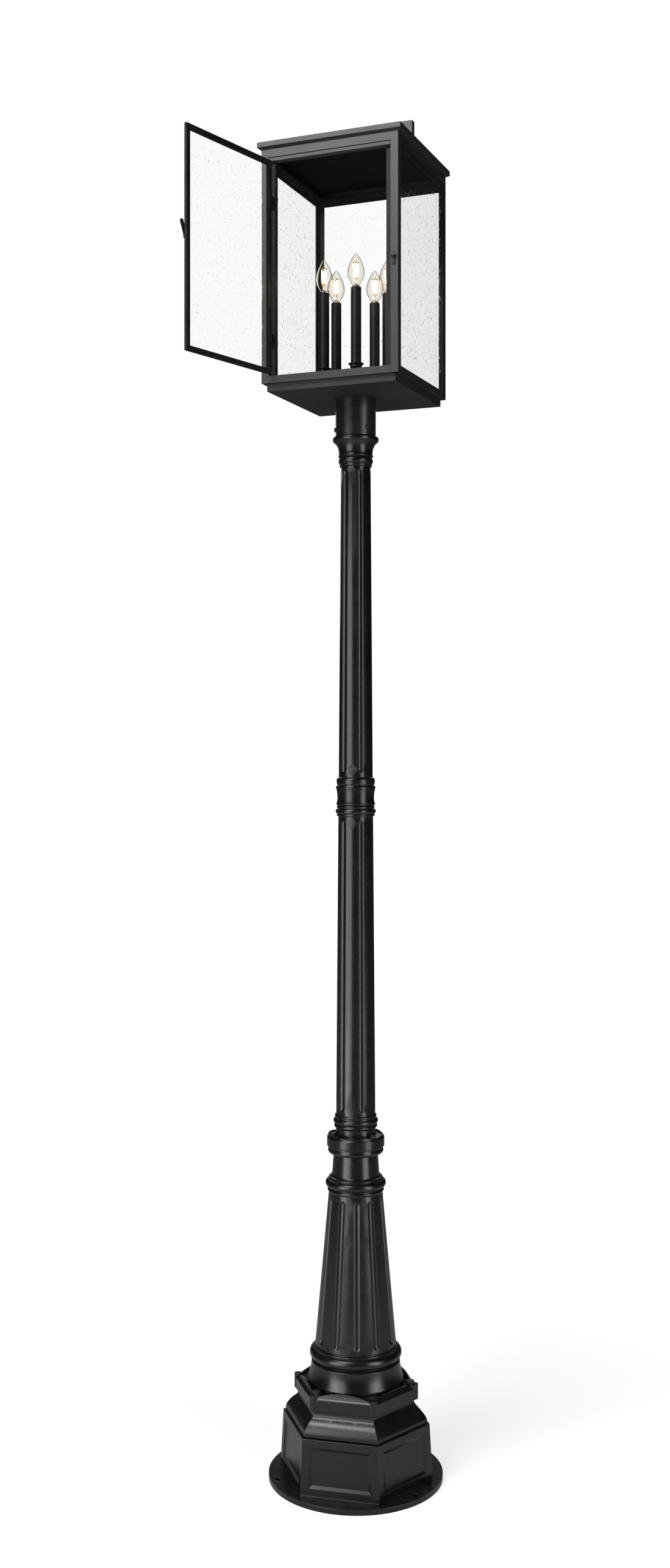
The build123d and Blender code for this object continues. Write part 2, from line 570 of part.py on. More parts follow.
def fitter_screws():
    """Three slotted screws that clamp the fitter on the tenon, shown just short of it."""
    outside = TENON_DIA / 2 + FITTER_SLIP + FITTER_WALL
    reach = outside - TENON_DIA / 2 - SEAT_GAP
    one = Rot(0, 90, 0) * pan_screw(SET_SCREW_D / 2, reach, 4.6, 2.6)
    return spun(Pos(outside, 0, FITTER_Z + SET_SCREW_Z) * one, 3, SET_SCREW_TURN)


def bottom_pan():
    """Shallow folded tray under the frame."""
    half = HALF - PAN_INSET
    tray = block(-half, half, -half, half, PAN_Z, FRAME_Z)
    room = half - PAN_T
    tray -= block(-room, room, -room, room, PAN_Z + PAN_T, FRAME_Z + 1)
    return tray - rod(NIPPLE_R + FIT, PAN_Z - 1, FRAME_Z)


def floor_plate():
    """Floor of the lantern on the inner legs of the bottom rails."""
    half = PANE_IN - GLASS_CLEAR
    low = FRAME_Z + SHEET_T
    return block(-half, half, -half, half, low, low + FLOOR_T) - rod(NIPPLE_R + FIT, low - 1, low + 9)


def corner_post(side_x, side_y):
    """Angle post with one leg on each face."""
    x, y = side_x * HALF, side_y * HALF
    post = block(x, side_x * INNER, y, side_y * FACE, FRAME_Z, FASCIA_Z)
    post += block(x, side_x * FACE, y, side_y * INNER, FRAME_Z, FASCIA_Z)
    if side_x > 0 > side_y:
        post -= keeper_holes()
    return post


def bottom_rail(turn, lid=False):
    """Folded rail between two posts; the front one also has a sill on top."""
    rail = block(-INNER, INNER, -HALF, -FACE, FRAME_Z, FRAME_Z + RAIL_H)
    rail += block(-INNER, INNER, -HALF, -INNER, FRAME_Z, FRAME_Z + SHEET_T)
    if lid:
        rail += block(-INNER, INNER, -HALF, -INNER, FRAME_Z + RAIL_H - SHEET_T, FRAME_Z + RAIL_H)
    return facing(rail, turn)


def top_rail(turn):
    """Folded rail under the fascia, with a narrow shadow groove above it."""
    top = FASCIA_Z - TOP_GROOVE
    rail = block(-INNER, INNER, -HALF, -FACE, top - TOP_RAIL_H, top)
    return facing(rail + block(-INNER, INNER, -HALF, -INNER, top - SHEET_T, top), turn)


def door_header():
    """Flat tube over the doorway."""
    bar = block(-INNER, INNER, -HALF, -INNER, HEADER_Z, HEADER_Z + HEADER_H)
    room = JAMB_T
    bar -= block(-INNER - 1, INNER + 1, -HALF + room, -INNER - room,
                 HEADER_Z + room, HEADER_Z + HEADER_H - room)
    return bar


def jamb(side):
    """Z-section door jamb behind the front leg of a corner post."""
    low, high = FRAME_Z + RAIL_H, HEADER_Z
    edge = side * INNER
    open_x = side * (INNER - JAMB_FACE)
    body = block(edge, edge + side * JAMB_T, -FACE, JAMB_Y + JAMB_T, low, high)
    body += block(open_x, edge + side * JAMB_T, JAMB_Y, JAMB_Y + JAMB_T, low, high)
    body += block(open_x, open_x + side * JAMB_T, JAMB_Y, JAMB_Y + JAMB_DEPTH, low, high)
    if side < 0:
        for z in leaf_screw_levels():
            body -= Pos(leaf_screw_x(), JAMB_Y, z) * Rot(90, 0, 0) * Cylinder(LEAF_SCREW_R + 0.1, 6)
    return body


def pane(turn):
    """Fixed pane behind the faces of one side."""
    low = FRAME_Z + SHEET_T + GLASS_CLEAR
    high = FASCIA_Z - TOP_GROOVE - SHEET_T - GLASS_CLEAR
    reach = FACE - GLASS_CLEAR
    if turn == 180:
        return facing(block(-reach, reach, -reach, -PANE_IN, low, high), turn)
    back = PANE_IN - GLASS_CLEAR
    x0, x1 = (-reach, back) if turn == 90 else (-back, reach)
    return facing(block(x0, x1, -reach, -PANE_IN, low, high), turn)


def glass_clips():
    """Small folded clips that hold the three fixed panes at their feet and heads."""
    face = -PANE_IN + GLASS_CLEAR
    low = FRAME_Z + SHEET_T + FLOOR_T
    high = FASCIA_Z - TOP_GROOVE - SHEET_T
    clips = []
    for turn in (90, 180, 270):
        for x in (-BODY_W / 4, BODY_W / 4):
            foot = block(x - CLIP_W / 2, x + CLIP_W / 2, face, face + CLIP_T, low, low + CLIP_H)
            foot += block(x - CLIP_W / 2, x + CLIP_W / 2, face, face + CLIP_H, low, low + CLIP_T)
            head = block(x - CLIP_W / 2, x + CLIP_W / 2, face, face + CLIP_T, high - CLIP_H, high)
            head += block(x - CLIP_W / 2, x + CLIP_W / 2, face, face + CLIP_H, high - CLIP_T, high)
            clips += [facing(foot, turn), facing(head, turn)]
    return clips


# ---------------------------------------------------------------- roof
def roof_fascia():
    """Folded band round the head of the frame with a wide inner flange."""
    body = block(-HALF, HALF, -HALF, HALF, FASCIA_Z, FASCIA_TOP)
    body -= block(-FACE, FACE, -FACE, FACE, FASCIA_Z - 1, FASCIA_TOP - ROOF_T)
    room = HALF - FASCIA_FLANGE
    body -= block(-room, room, -room, room, FASCIA_Z, FASCIA_TOP + 1)
    for x, y in ceiling_screw_places():
        body -= Pos(x, y, FASCIA_TOP) * Cylinder(1.5 + FIT, 10)
    return body


def roof_cap():
    """Flat roof: folded slab with a sloping soffit that meets the fascia."""
    half = ROOF_W / 2
    slab = block(-half, half, -half, half, EAVE_Z, ROOF_Z)
    room = half - ROOF_T
    slab -= block(-room, room, -room, room, EAVE_Z - 1, ROOF_Z - ROOF_T)
    wide = Pos(0, 0, EAVE_Z) * Rectangle(2 * half - 1, 2 * half - 1)
    soffit = loft([Pos(0, 0, FASCIA_TOP) * Rectangle(BODY_W, BODY_W), wide])
    lip = HALF - 7
    soffit -= block(-lip, lip, -lip, lip, FASCIA_TOP - 1, EAVE_Z + 1)
    return slab + soffit


def ceiling_screw_places():
    """Screw places of the ceiling panel, under the fascia's flange."""
    x = HALF - FASCIA_FLANGE + 6
    return [(sx * x, sy * x * 0.42) for sx in (-1, 1) for sy in (-1, 1)]


def ceiling_panel():
    """Flat sheet that closes the roof from below."""
    half = FACE - SEAT_GAP
    high = FASCIA_TOP - ROOF_T
    body = block(-half, half, -half, half, high - CEILING_T, high)
    for x, y in ceiling_screw_places():
        body -= Pos(x, y, high) * Cylinder(1.5 + FIT, 10)
    return body


def ceiling_screws():
    """Four small screws that hold the ceiling panel up."""
    one = Rot(180, 0, 0) * pan_screw(1.5, CEILING_T + ROOF_T + 1, 3.2, 1.6)
    level = FASCIA_TOP - ROOF_T - CEILING_T
    return [Pos(x, y, level) * one for x, y in ceiling_screw_places()]


def roof_handle():
    """Square hoop of flat bar across the roof."""
    half = ROOF_W / 2 - HANDLE_INSET
    body = block(-half, half, -HANDLE_T / 2, HANDLE_T / 2, ROOF_Z, ROOF_Z + HANDLE_H)
    room = half - HANDLE_BAR
    return body - block(-room, room, -HANDLE_T, HANDLE_T, ROOF_Z - 1, ROOF_Z + HANDLE_H - HANDLE_BAR)


# ---------------------------------------------------------------- hinges
def hinge_levels():
    """Middle heights of the two hinges."""
    return (DOOR_FOOT + HINGE_INSET, DOOR_HEAD - HINGE_INSET)


def leaf_screw_levels():
    """Heights of the leaf screws."""
    return [z + s * LEAF_SCREW_PITCH / 2 for z in hinge_levels() for s in (-1, 1)]


def leaf_screw_x():
    """Leaf screws stand in the middle of the flanges."""
    return HINGE_X + DOOR_GAP / 2 + LEAF_FLANGE / 2 - 0.5


def knuckle(z0, z1):
    """One barrel length on the hinge axis."""
    return Pos(HINGE_X, HINGE_Y, 0) * rod(HINGE_R, z0, z1)


def leaf_plate(edge, back, flange_y, low, high):
    """Folded leaf: a leg in the door's gap and a flange on the back, clear of the barrel."""
    leg = block(edge, edge + LEAF_T, -HALF + SEAT_GAP / 2, back, low, high)
    inner = HINGE_X + DOOR_GAP / 2 + LEAF_FLANGE
    return leg + block(edge, inner, flange_y, flange_y + LEAF_T, low, high)


def thirds(z):
    """Lower, middle and upper barrel lengths of a hinge."""
    low = z - LEAF_H / 2
    part = (LEAF_H - 2 * KNUCKLE_GAP) / 3
    return [(low + i * (part + KNUCKLE_GAP), low + i * (part + KNUCKLE_GAP) + part) for i in range(3)]


def bored(leaf, low, high):
    """Bore the barrel and the two screw holes of a leaf."""
    leaf -= Pos(HINGE_X, HINGE_Y, 0) * rod(HINGE_PIN_R + PIN_CLEAR, low - 1, high + 1)
    for z in leaf_screw_levels():
        leaf -= Pos(leaf_screw_x(), JAMB_Y - 1, z) * Rot(90, 0, 0) * Cylinder(LEAF_SCREW_R + 0.1, 6)
    return leaf


def frame_leaf(z):
    """Leaf on the jamb with the two outer barrel lengths."""
    low, high = z - LEAF_H / 2, z + LEAF_H / 2
    edge = -INNER
    leaf = leaf_plate(edge, JAMB_Y, JAMB_Y - LEAF_T, low, high)
    for z0, z1 in (thirds(z)[0], thirds(z)[2]):
        leaf += knuckle(z0, z1) + block(edge, edge + LEAF_T, HINGE_Y, -HALF + 1, z0, z1)
    return bored(leaf, low, high)


def door_leaf(z):
    """Leaf on the door with the middle barrel length."""
    low, high = z - LEAF_H / 2, z + LEAF_H / 2
    edge = -INNER + DOOR_GAP - LEAF_T
    back = -HALF + DOOR_T
    leaf = leaf_plate(edge, back + LEAF_T, back, low, high)
    z0, z1 = thirds(z)[1]
    leaf += knuckle(z0, z1) + block(edge, edge + LEAF_T, HINGE_Y, -HALF + 1, z0, z1)
    return bored(leaf, low, high)


def hinge_pins():
    """Headed pins through the barrels."""
    pins = []
    for z in hinge_levels():
        top = z + LEAF_H / 2
        pin = rod(HINGE_PIN_R, top - LEAF_H - 1, top + 0.5) + rod(HINGE_R - 0.2, top + 0.2, top + 1.4)
        pins.append(Pos(HINGE_X, HINGE_Y, 0) * pin)
    return pins


def leaf_screws(seat_y, tilt):
    """Flat-head screws of one set of leaves, seated at y with heads tilted to face the gap."""
    one = rod(LEAF_SCREW_R, -LEAF_T - LEAF_SCREW_BITE, 0) + rod(LEAF_SCREW_R + 0.9, 0, LEAF_SCREW_HEAD)
    return [Pos(leaf_screw_x(), seat_y, z) * Rot(tilt, 0, 0) * one for z in leaf_screw_levels()]


# ---------------------------------------------------------------- door, made shut and then opened
def opened(shape):
    """Swing a door piece from shut to the rest pose."""
    return Pos(HINGE_X, HINGE_Y, 0) * Rot(0, 0, -DOOR_OPEN) * Pos(-HINGE_X, -HINGE_Y, 0) * shape


def door_ring(outer, inner, y0, y1):
    """Rectangular ring in the door's plane, inset from the door's edge by two widths."""
    half = DOOR_W / 2
    ring = block(-half + outer, half - outer, y0, y1, DOOR_FOOT + outer, DOOR_HEAD - outer)
    return ring - block(-half + inner, half - inner, y0 - 1, y1 + 1,
                        DOOR_FOOT + inner, DOOR_HEAD - inner)


def door_frame():
    """Folded door frame: flat face with a turned-back flange all round."""
    face = door_ring(0, DOOR_STILE, -HALF, -HALF + DOOR_SHEET)
    face += door_ring(0, DOOR_SHEET, -HALF, -HALF + DOOR_T)
    x, z = latch_place()
    return face - Pos(x, -HALF, z) * Rot(90, 0, 0) * Cylinder(LATCH_PIVOT_R + PIN_CLEAR, 10)


def door_glass():
    """Seedy pane that lies behind the door's face."""
    half = DOOR_W / 2 - DOOR_SHEET - GLASS_CLEAR
    y = -HALF + DOOR_SHEET + GLASS_CLEAR
    edge = DOOR_SHEET + GLASS_CLEAR
    return block(-half, half, y, y + DOOR_GLASS_T, DOOR_FOOT + edge, DOOR_HEAD - edge)


def door_bead():
    """Ring that holds the door's pane from inside."""
    y0 = -HALF + DOOR_SHEET + DOOR_GLASS_T + 2 * GLASS_CLEAR
    edge = DOOR_SHEET + GLASS_CLEAR
    bead = door_ring(edge, edge + BEAD_W, y0, -HALF + DOOR_T)
    for z in leaf_screw_levels():
        bead -= Pos(leaf_screw_x(), y0, z) * Rot(90, 0, 0) * Cylinder(LEAF_SCREW_R + 0.1, 8)
    return bead


# ---------------------------------------------------------------- latch
def latch_place():
    """Latch pivot on the door's free stile, with the door shut."""
    return DOOR_W / 2 - DOOR_STILE / 2, FRAME_Z + LATCH_Z


def latch_lever():
    """Flat lever that widens to a rounded finger pad."""
    x, z = latch_place()
    plan = Curve() + [
        ThreePointArc((LATCH_W / 2, 0), (0, -LATCH_W / 2), (-LATCH_W / 2, 0)),
        Line((-LATCH_W / 2, 0), (-LATCH_PAD_W / 2, LATCH_LEN - 4)),
        ThreePointArc((-LATCH_PAD_W / 2, LATCH_LEN - 4), (0, LATCH_LEN), (LATCH_PAD_W / 2, LATCH_LEN - 4)),
        Line((LATCH_PAD_W / 2, LATCH_LEN - 4), (LATCH_W / 2, 0)),
    ]
    lever = extrude(make_face(plan), LATCH_T) - Cylinder(LATCH_PIVOT_R + PIN_CLEAR, 4 * LATCH_T)
    lever = Rot(90, 0, 0) * Rot(0, 0, -LATCH_TILT) * lever
    return Pos(x, -HALF - LATCH_STANDOFF, z) * lever


def latch_rivet():
    """Headed rivet and spacer that the lever turns on."""
    x, z = latch_place()
    front = LATCH_STANDOFF + LATCH_T + 0.2
    rivet = rod(LATCH_PIVOT_R, -DOOR_SHEET, front + 0.5) + rod(3.2, front, front + 1.4)
    rivet += rod(2.8, 0, LATCH_STANDOFF - 0.2)
    return Pos(x, -HALF, z) * Rot(90, 0, 0) * rivet


def keeper_x():
    """Middle of the keeper plate on the latch-side corner post."""
    return INNER + KEEPER_W / 2 + 2.5


def shelf_level():
    """Top of the keeper's shelf, just under the lever when it lies level."""
    return FRAME_Z + LATCH_Z - LATCH_PAD_W / 2 - SEAT_GAP


def keeper_screw_places():
    """Seats of the keeper's two screws on its plate."""
    foot = shelf_level() - KEEPER_H
    return [Pos(keeper_x(), -HALF - KEEPER_T, foot + rise) * Rot(90, 0, 0) for rise in (3.5, 10.5)]


def keeper_holes():
    """Screw holes through the keeper and the corner post."""
    return [place * Cylinder(KEEPER_SCREW_R + FIT, 10) for place in keeper_screw_places()]


def keeper_screws():
    """Two small round-head screws."""
    one = pan_screw(KEEPER_SCREW_R, KEEPER_T + SHEET_T, 2.4, 1.2)
    return [place * one for place in keeper_screw_places()]


def keeper():
    """Folded keeper: screwed plate, a shelf for the lever and an upturned lip."""
    x0, x1 = keeper_x() - KEEPER_W / 2, keeper_x() + KEEPER_W / 2
    shelf = shelf_level()
    low = shelf - KEEPER_H
    body = block(x0, x1, -HALF - KEEPER_T, -HALF, low, shelf)
    front = -HALF - KEEPER_TAB
    body += block(x0, x1, front, -HALF, shelf - KEEPER_T, shelf)
    body += block(x1 - 2.5, x1, front, front + KEEPER_T - 0.3, shelf - KEEPER_T, shelf + KEEPER_LIP)
    return body - keeper_holes()


# ---------------------------------------------------------------- candle cluster
def on_candles(shape):
    """Copy a piece made on the z axis to each candle."""
    return spun(Pos(CANDLE_PCR, 0, 0) * shape, CANDLES, CANDLE_TURN)


def stem_nipple():
    """Threaded tube that clamps the fitter, pan, floor and hub together."""
    return tube(NIPPLE_R, NIPPLE_BORE_R, PAN_Z - FITTER_WALL - NUT_H - 4, HUB_TOP + NUT_H + 3)


def stem_nuts():
    """Hex nuts under the fitter's plate and on top of the hub."""
    one = extrude(RegularPolygon(NUT_R, 6), NUT_H) - Cylinder(NIPPLE_R + PIN_CLEAR, 4 * NUT_H)
    return [Pos(0, 0, PAN_Z - FITTER_WALL - NUT_H) * one, Pos(0, 0, HUB_TOP) * one]


def cluster_hub():
    """Spun hub that stands on the floor plate and carries the arms."""
    low = FRAME_Z + SHEET_T + FLOOR_T
    crown = HUB_R - 10
    body = turned(
        (HUB_R, low), (HUB_R, HUB_TOP - 12), (crown, HUB_TOP, 3.0),
        (NIPPLE_R + FIT, HUB_TOP), (NIPPLE_R + FIT, HUB_TOP - HUB_WALL),
        (crown, HUB_TOP - HUB_WALL), (HUB_R - HUB_WALL, HUB_TOP - 12, -3.0), (HUB_R - HUB_WALL, low),
    )
    hole = Pos(HUB_R, 0, FRAME_Z + ARM_Z) * Rot(0, 90, 0) * Cylinder(ARM_R + PIN_CLEAR, 8)
    return body - spun(hole, CANDLES, CANDLE_TURN)


def cluster_arms():
    """Bent tubes from the hub's wall up to the cups."""
    start = HUB_R - HUB_WALL - 2
    level = FRAME_Z + ARM_Z
    rise = CUP_BASE - level
    path = Plane.XZ * (Curve() + [
        Line((start, level), (CANDLE_PCR - ARM_BEND, level)),
        CenterArc((CANDLE_PCR - ARM_BEND, level + ARM_BEND), ARM_BEND, 270, 90),
    ])
    if rise > ARM_BEND:
        path += Line((CANDLE_PCR, 0, level + ARM_BEND), (CANDLE_PCR, 0, CUP_BASE))
    ring = Plane(origin=(start, 0, level), z_dir=(1, 0, 0)) * (Circle(ARM_R) - Circle(ARM_R - 1))
    return spun(sweep(ring, path), CANDLES, CANDLE_TURN)


def candle_cups():
    """Turned cups with a flared lip, one under each sleeve."""
    seat = SLEEVE_R + FIT
    return on_candles(turned(
        (ARM_R - 1, CUP_BASE), (CUP_R - 2, CUP_BASE), (CUP_R, CUP_BASE + 2, 0.6),
        (CUP_R, CUP_BASE + CUP_H - 4.5), (CUP_LIP_R, CUP_BASE + CUP_H - 1.5, -1.0),
        (CUP_LIP_R, CUP_BASE + CUP_H), (CUP_LIP_R - 1.5, CUP_BASE + CUP_H),
        (seat, CUP_BASE + CUP_H - 3, 0.6), (seat, SLEEVE_Z), (ARM_R - 1, SLEEVE_Z),
    ))


def candle_sleeves():
    """Straight candle tubes."""
    return on_candles(tube(SLEEVE_R, SLEEVE_R - SLEEVE_WALL, SLEEVE_Z, SLEEVE_TOP))


def lamp_holders():
    """Lamp holders inside the sleeves, each on a hollow stem that stands on the cup's floor."""
    foot = HOLDER_TOP - HOLDER_H
    pocket = HOLDER_TOP - CAP_LEN
    return on_candles(turned(
        (HOLDER_STEM_R, SLEEVE_Z), (HOLDER_STEM_R, foot), (HOLDER_R, foot), (HOLDER_R, HOLDER_TOP),
        (CAP_THREAD_R + PIN_CLEAR, HOLDER_TOP), (CAP_THREAD_R + PIN_CLEAR, pocket),
        (HOLDER_STEM_R - 1.5, pocket), (HOLDER_STEM_R - 1.5, SLEEVE_Z),
    ))


def bulb_caps():
    """Screw caps of the bulbs, each with a collar that rests on its holder."""
    tip = HOLDER_TOP - CAP_LEN + 0.5
    return on_candles(turned(
        (0, tip), (2.5, tip), (2.5, tip + 1.2), (CAP_THREAD_R - 1, tip + 2.5), (CAP_THREAD_R, tip + 4),
        (CAP_THREAD_R, HOLDER_TOP), (CAP_COLLAR_R, HOLDER_TOP), (CAP_COLLAR_R, BULB_Z), (0, BULB_Z),
    ))


def bulb_profile(inset):
    """Half outline of the glass, drawn in by a wall."""
    neck, belly = BULB_NECK_R - inset, BULB_R - inset
    return Spline((neck, BULB_Z), (belly, BULB_Z + BULB_BELLY_Z), (0, BULB_Z + BULB_H - inset),
                  tangents=((0.5, 1), (-0.55, 0.85)))


def bulb_glasses():
    """Clear torpedo envelopes, drawn to a soft point."""
    top = BULB_Z + BULB_H
    outline = Curve() + [
        bulb_profile(0),
        Line((0, top), (0, top - BULB_WALL)),
        bulb_profile(BULB_WALL),
        Line((BULB_NECK_R - BULB_WALL, BULB_Z), (BULB_NECK_R, BULB_Z)),
    ]
    return on_candles(revolve(Plane.XZ * make_face(outline), Axis.Z))


def bulb_stems():
    """Glass stems inside the bulbs, with a button for the filaments and a centre post."""
    neck = BULB_NECK_R - BULB_WALL - SEAT_GAP
    button = BULB_Z + BULB_STEM_H
    post = button + FILAMENT_LEN
    return on_candles(turned(
        (0, BULB_Z), (neck, BULB_Z), (neck, BULB_Z + 0.8), (2.6, BULB_Z + 5, -1.2),
        (2.6, button - 2.5), (FILAMENT_CIRCLE + FILAMENT_R, button - 1.5),
        (FILAMENT_CIRCLE + FILAMENT_R, button), (1.0, button), (1.0, post), (0, post),
    ))


def bulb_filaments():
    """Upright filament rods, standing on each stem's button."""
    foot = BULB_Z + BULB_STEM_H
    one = rod(FILAMENT_R, foot, foot + FILAMENT_LEN)
    ring = spun(Pos(FILAMENT_CIRCLE, 0, 0) * one, FILAMENTS, 45)
    return [bulb for rod_shape in ring for bulb in on_candles(rod_shape)]


# ---------------------------------------------------------------- sub-parts
os.makedirs("parts", exist_ok=True)

# post
save("base_casting", base_casting())
save("base_cap", base_cap())
save("base_cap_bolts", *base_cap_bolts())
save("pedestal", pedestal())
save("flange_bolts", *flange_bolts())
save("lower_post", lower_post())
save("upper_post", upper_post())
save("post_capital", post_capital())

# lantern frame
save("fitter", fitter())
save("fitter_screws", *fitter_screws())
save("bottom_pan", bottom_pan())
save("floor_plate", floor_plate())
save("corner_post_front_left", corner_post(-1, -1))
save("corner_post_front_right", corner_post(1, -1))
save("corner_post_back_left", corner_post(-1, 1))
save("corner_post_back_right", corner_post(1, 1))
save("front_bottom_rail", bottom_rail(0, lid=True))
save("right_bottom_rail", bottom_rail(90))
save("back_bottom_rail", bottom_rail(180))
save("left_bottom_rail", bottom_rail(270))
save("right_top_rail", top_rail(90))
save("back_top_rail", top_rail(180))
save("left_top_rail", top_rail(270))
save("door_header", door_header())
save("hinge_jamb", jamb(-1))
save("latch_jamb", jamb(1))
save("right_glass", pane(90))
save("back_glass", pane(180))
save("left_glass", pane(270))
save("glass_clips", *glass_clips())
save("roof_fascia", roof_fascia())
save("roof_cap", roof_cap())
save("ceiling_panel", ceiling_panel())
save("ceiling_screws", *ceiling_screws())
save("roof_handle", roof_handle())
save("keeper", keeper())
save("keeper_screws", *keeper_screws())
save("hinge_frame_leaves", *[frame_leaf(z) for z in hinge_levels()])
save("hinge_pins", *hinge_pins())
save("frame_leaf_screws", *leaf_screws(JAMB_Y - LEAF_T, 90))

# candle cluster
save("stem_nipple", stem_nipple())
save("stem_nuts", *stem_nuts())
save("cluster_hub", cluster_hub())
save("cluster_arms", *cluster_arms())
save("candle_cups", *candle_cups())
save("candle_sleeves", *candle_sleeves())
save("lamp_holders", *lamp_holders())
save("bulb_caps", *bulb_caps())
save("bulb_glasses", *bulb_glasses())
save("bulb_stems", *bulb_stems())
save("bulb_filaments", *bulb_filaments())

# door, standing open
save("door_frame", opened(door_frame()))
save("door_glass", opened(door_glass()))
save("door_bead", opened(door_bead()))
save("door_hinge_leaves", *[opened(door_leaf(z)) for z in hinge_levels()])
save("door_leaf_screws", *[opened(screw) for screw in leaf_screws(-HALF + DOOR_T + LEAF_T, -90)])
save("latch_rivet", opened(latch_rivet()))
save("latch_lever", opened(latch_lever()))
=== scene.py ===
"""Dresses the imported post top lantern: black coats, seedy panes, lit candle bulbs and a pale stage."""

from math import cos, pi, radians, sin, tau

import bmesh
import bpy
from bpy.props import FloatProperty, FloatVectorProperty, PointerProperty
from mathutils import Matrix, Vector


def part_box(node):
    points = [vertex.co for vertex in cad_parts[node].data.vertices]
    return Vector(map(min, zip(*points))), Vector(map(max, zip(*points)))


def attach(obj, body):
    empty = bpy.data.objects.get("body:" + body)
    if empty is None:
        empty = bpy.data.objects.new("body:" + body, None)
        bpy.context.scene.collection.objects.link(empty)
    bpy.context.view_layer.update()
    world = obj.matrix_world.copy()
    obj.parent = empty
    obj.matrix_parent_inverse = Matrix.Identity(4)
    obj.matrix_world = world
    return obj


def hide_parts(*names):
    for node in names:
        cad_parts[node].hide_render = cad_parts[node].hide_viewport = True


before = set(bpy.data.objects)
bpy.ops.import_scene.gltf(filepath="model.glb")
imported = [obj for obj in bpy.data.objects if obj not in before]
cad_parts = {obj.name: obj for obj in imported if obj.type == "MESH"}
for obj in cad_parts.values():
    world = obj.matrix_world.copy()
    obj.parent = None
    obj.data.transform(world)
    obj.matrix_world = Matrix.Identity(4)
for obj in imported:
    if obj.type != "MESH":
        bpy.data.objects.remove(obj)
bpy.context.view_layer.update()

bl_info = {
    "name": "Post Top Lantern",
    "version": (1, 0, 0),
    "blender": (4, 5, 0),
    "location": "3D View > Sidebar > Lantern",
    "description": "Coats, glazes and lights a fluted post with a glazed lantern",
    "category": "Object",
}

MM = 0.001
CANDLES = 5
CANDLE_CIRCLE = 68 * MM
NEAREST_CANDLE = radians(-68.0)
FILAMENTS = 4
CAP_LOW, CAP_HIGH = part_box("bulb_caps")
GLASS_LOW, GLASS_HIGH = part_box("bulb_glasses")
WIRE_LOW, WIRE_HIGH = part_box("bulb_filaments")
PHOTO_SIZE = (1100, 2576)

CASTINGS = ("base_casting", "base_cap", "pedestal", "lower_post", "upper_post", "post_capital")
BOLTS = ("base_cap_bolts", "flange_bolts")
SHEETS = (
    "corner_post_front_left", "corner_post_front_right", "front_bottom_rail", "right_bottom_rail",
    "back_bottom_rail", "left_bottom_rail", "door_header", "roof_fascia", "roof_cap", "roof_handle",
)
# parts of the lantern's sheet that get a darker, duller copy of the powder coat as painted shade
SHADE_PAINTED_PARTS = (
    "corner_post_back_left", "corner_post_back_right", "right_top_rail", "back_top_rail",
    "left_top_rail", "hinge_jamb", "latch_jamb", "glass_clips",
)
TURNED = ("fitter",)
DOOR_METAL = ("door_frame", "door_bead")
UNDERSIDES = ("floor_plate", "ceiling_panel", "ceiling_screws")
PAN = ("bottom_pan",)
HINGES = ("hinge_frame_leaves", "door_hinge_leaves", "latch_lever", "latch_rivet", "keeper")
SCREWS = (
    "fitter_screws", "keeper_screws", "hinge_pins", "frame_leaf_screws",
    "door_leaf_screws", "stem_nuts",
)
CANDLE_METAL = ("candle_sleeves", "candle_cups", "cluster_hub", "cluster_arms")
HOLDERS = ("lamp_holders",)
PLATED = ("bulb_caps", "stem_nipple")
PANES = ("right_glass", "back_glass", "left_glass", "door_glass")


# ---------------------------------------------------------------- sizes and colours a user may change
class CoatValues(bpy.types.PropertyGroup):
    """Black finishes of the castings, sheets and fasteners."""
    # doubled, also the colour of the painted shade on the lantern's floor plate and ceiling
    cast_colour: FloatVectorProperty(
        name="Casting paint", description="Satin paint of the post's castings",
        subtype="COLOR", size=3, min=0, max=1, default=(0.0042, 0.0042, 0.0045))
    sheet_colour: FloatVectorProperty(
        name="Powder coat", description="Fine-textured coat of the lantern's folded sheets",
        subtype="COLOR", size=3, min=0, max=1, default=(0.016, 0.016, 0.0165))
    # also the colour of the painted shade on the shaded sheet parts and the door frame
    small_colour: FloatVectorProperty(
        name="Small parts", description="Finish of hinges, latch, bolts and screws",
        subtype="COLOR", size=3, min=0, max=1, default=(0.011, 0.011, 0.0115))
    candle_colour: FloatVectorProperty(
        name="Candle tubes", description="Smooth coat of the candle tubes and their cups",
        subtype="COLOR", size=3, min=0, max=1, default=(0.009, 0.009, 0.009))
    cast_grain: FloatProperty(
        name="Casting grain", description="Size of the bumps in the casting's paint",
        unit="LENGTH", default=1.6 * MM)
    sheet_grain: FloatProperty(
        name="Powder grain", description="Size of the bumps in the powder coat",
        unit="LENGTH", default=1.5 * MM)
    edge_radius: FloatProperty(
        name="Edge radius", description="How far light creeps round an edge",
        unit="LENGTH", default=1.2 * MM)


class GlassValues(bpy.types.PropertyGroup):
    """Clear glass of the panes."""
    tint: FloatVectorProperty(
        name="Pane tint", description="Colour that the panes give to what is behind them",
        subtype="COLOR", size=3, min=0, max=1, default=(0.965, 0.977, 0.974))
    seed_cell: FloatProperty(
        name="Seed spacing", description="Width of the cells that hold one seed each",
        unit="LENGTH", default=7.5 * MM)
    wave: FloatProperty(
        name="Wave length", description="Length of the slow waves in the panes",
        unit="LENGTH", default=26 * MM)


class BulbValues(bpy.types.PropertyGroup):
    """Sizes of the candle bulbs and the light that they give."""
    wall: FloatProperty(
        name="Bulb wall", description="Thickness of the bulb's glass", unit="LENGTH", default=0.45 * MM)
    rod: FloatProperty(
        name="Filament radius", description="Radius of one lit filament", unit="LENGTH", default=0.8 * MM)
    circle: FloatProperty(
        name="Filament circle", description="Radius of the ring the filaments stand on",
        unit="LENGTH", default=4.6 * MM)
    wire: FloatProperty(
        name="Wire radius", description="Radius of the lead wires", unit="LENGTH", default=0.28 * MM)
    glow: FloatVectorProperty(
        name="Glow", description="Colour of the lit filaments",
        subtype="COLOR", size=3, min=0, max=1, default=(1.0, 0.80, 0.50))
    strength: FloatProperty(
        name="Brightness", description="Strength of the lit filaments", default=9.0, min=0)


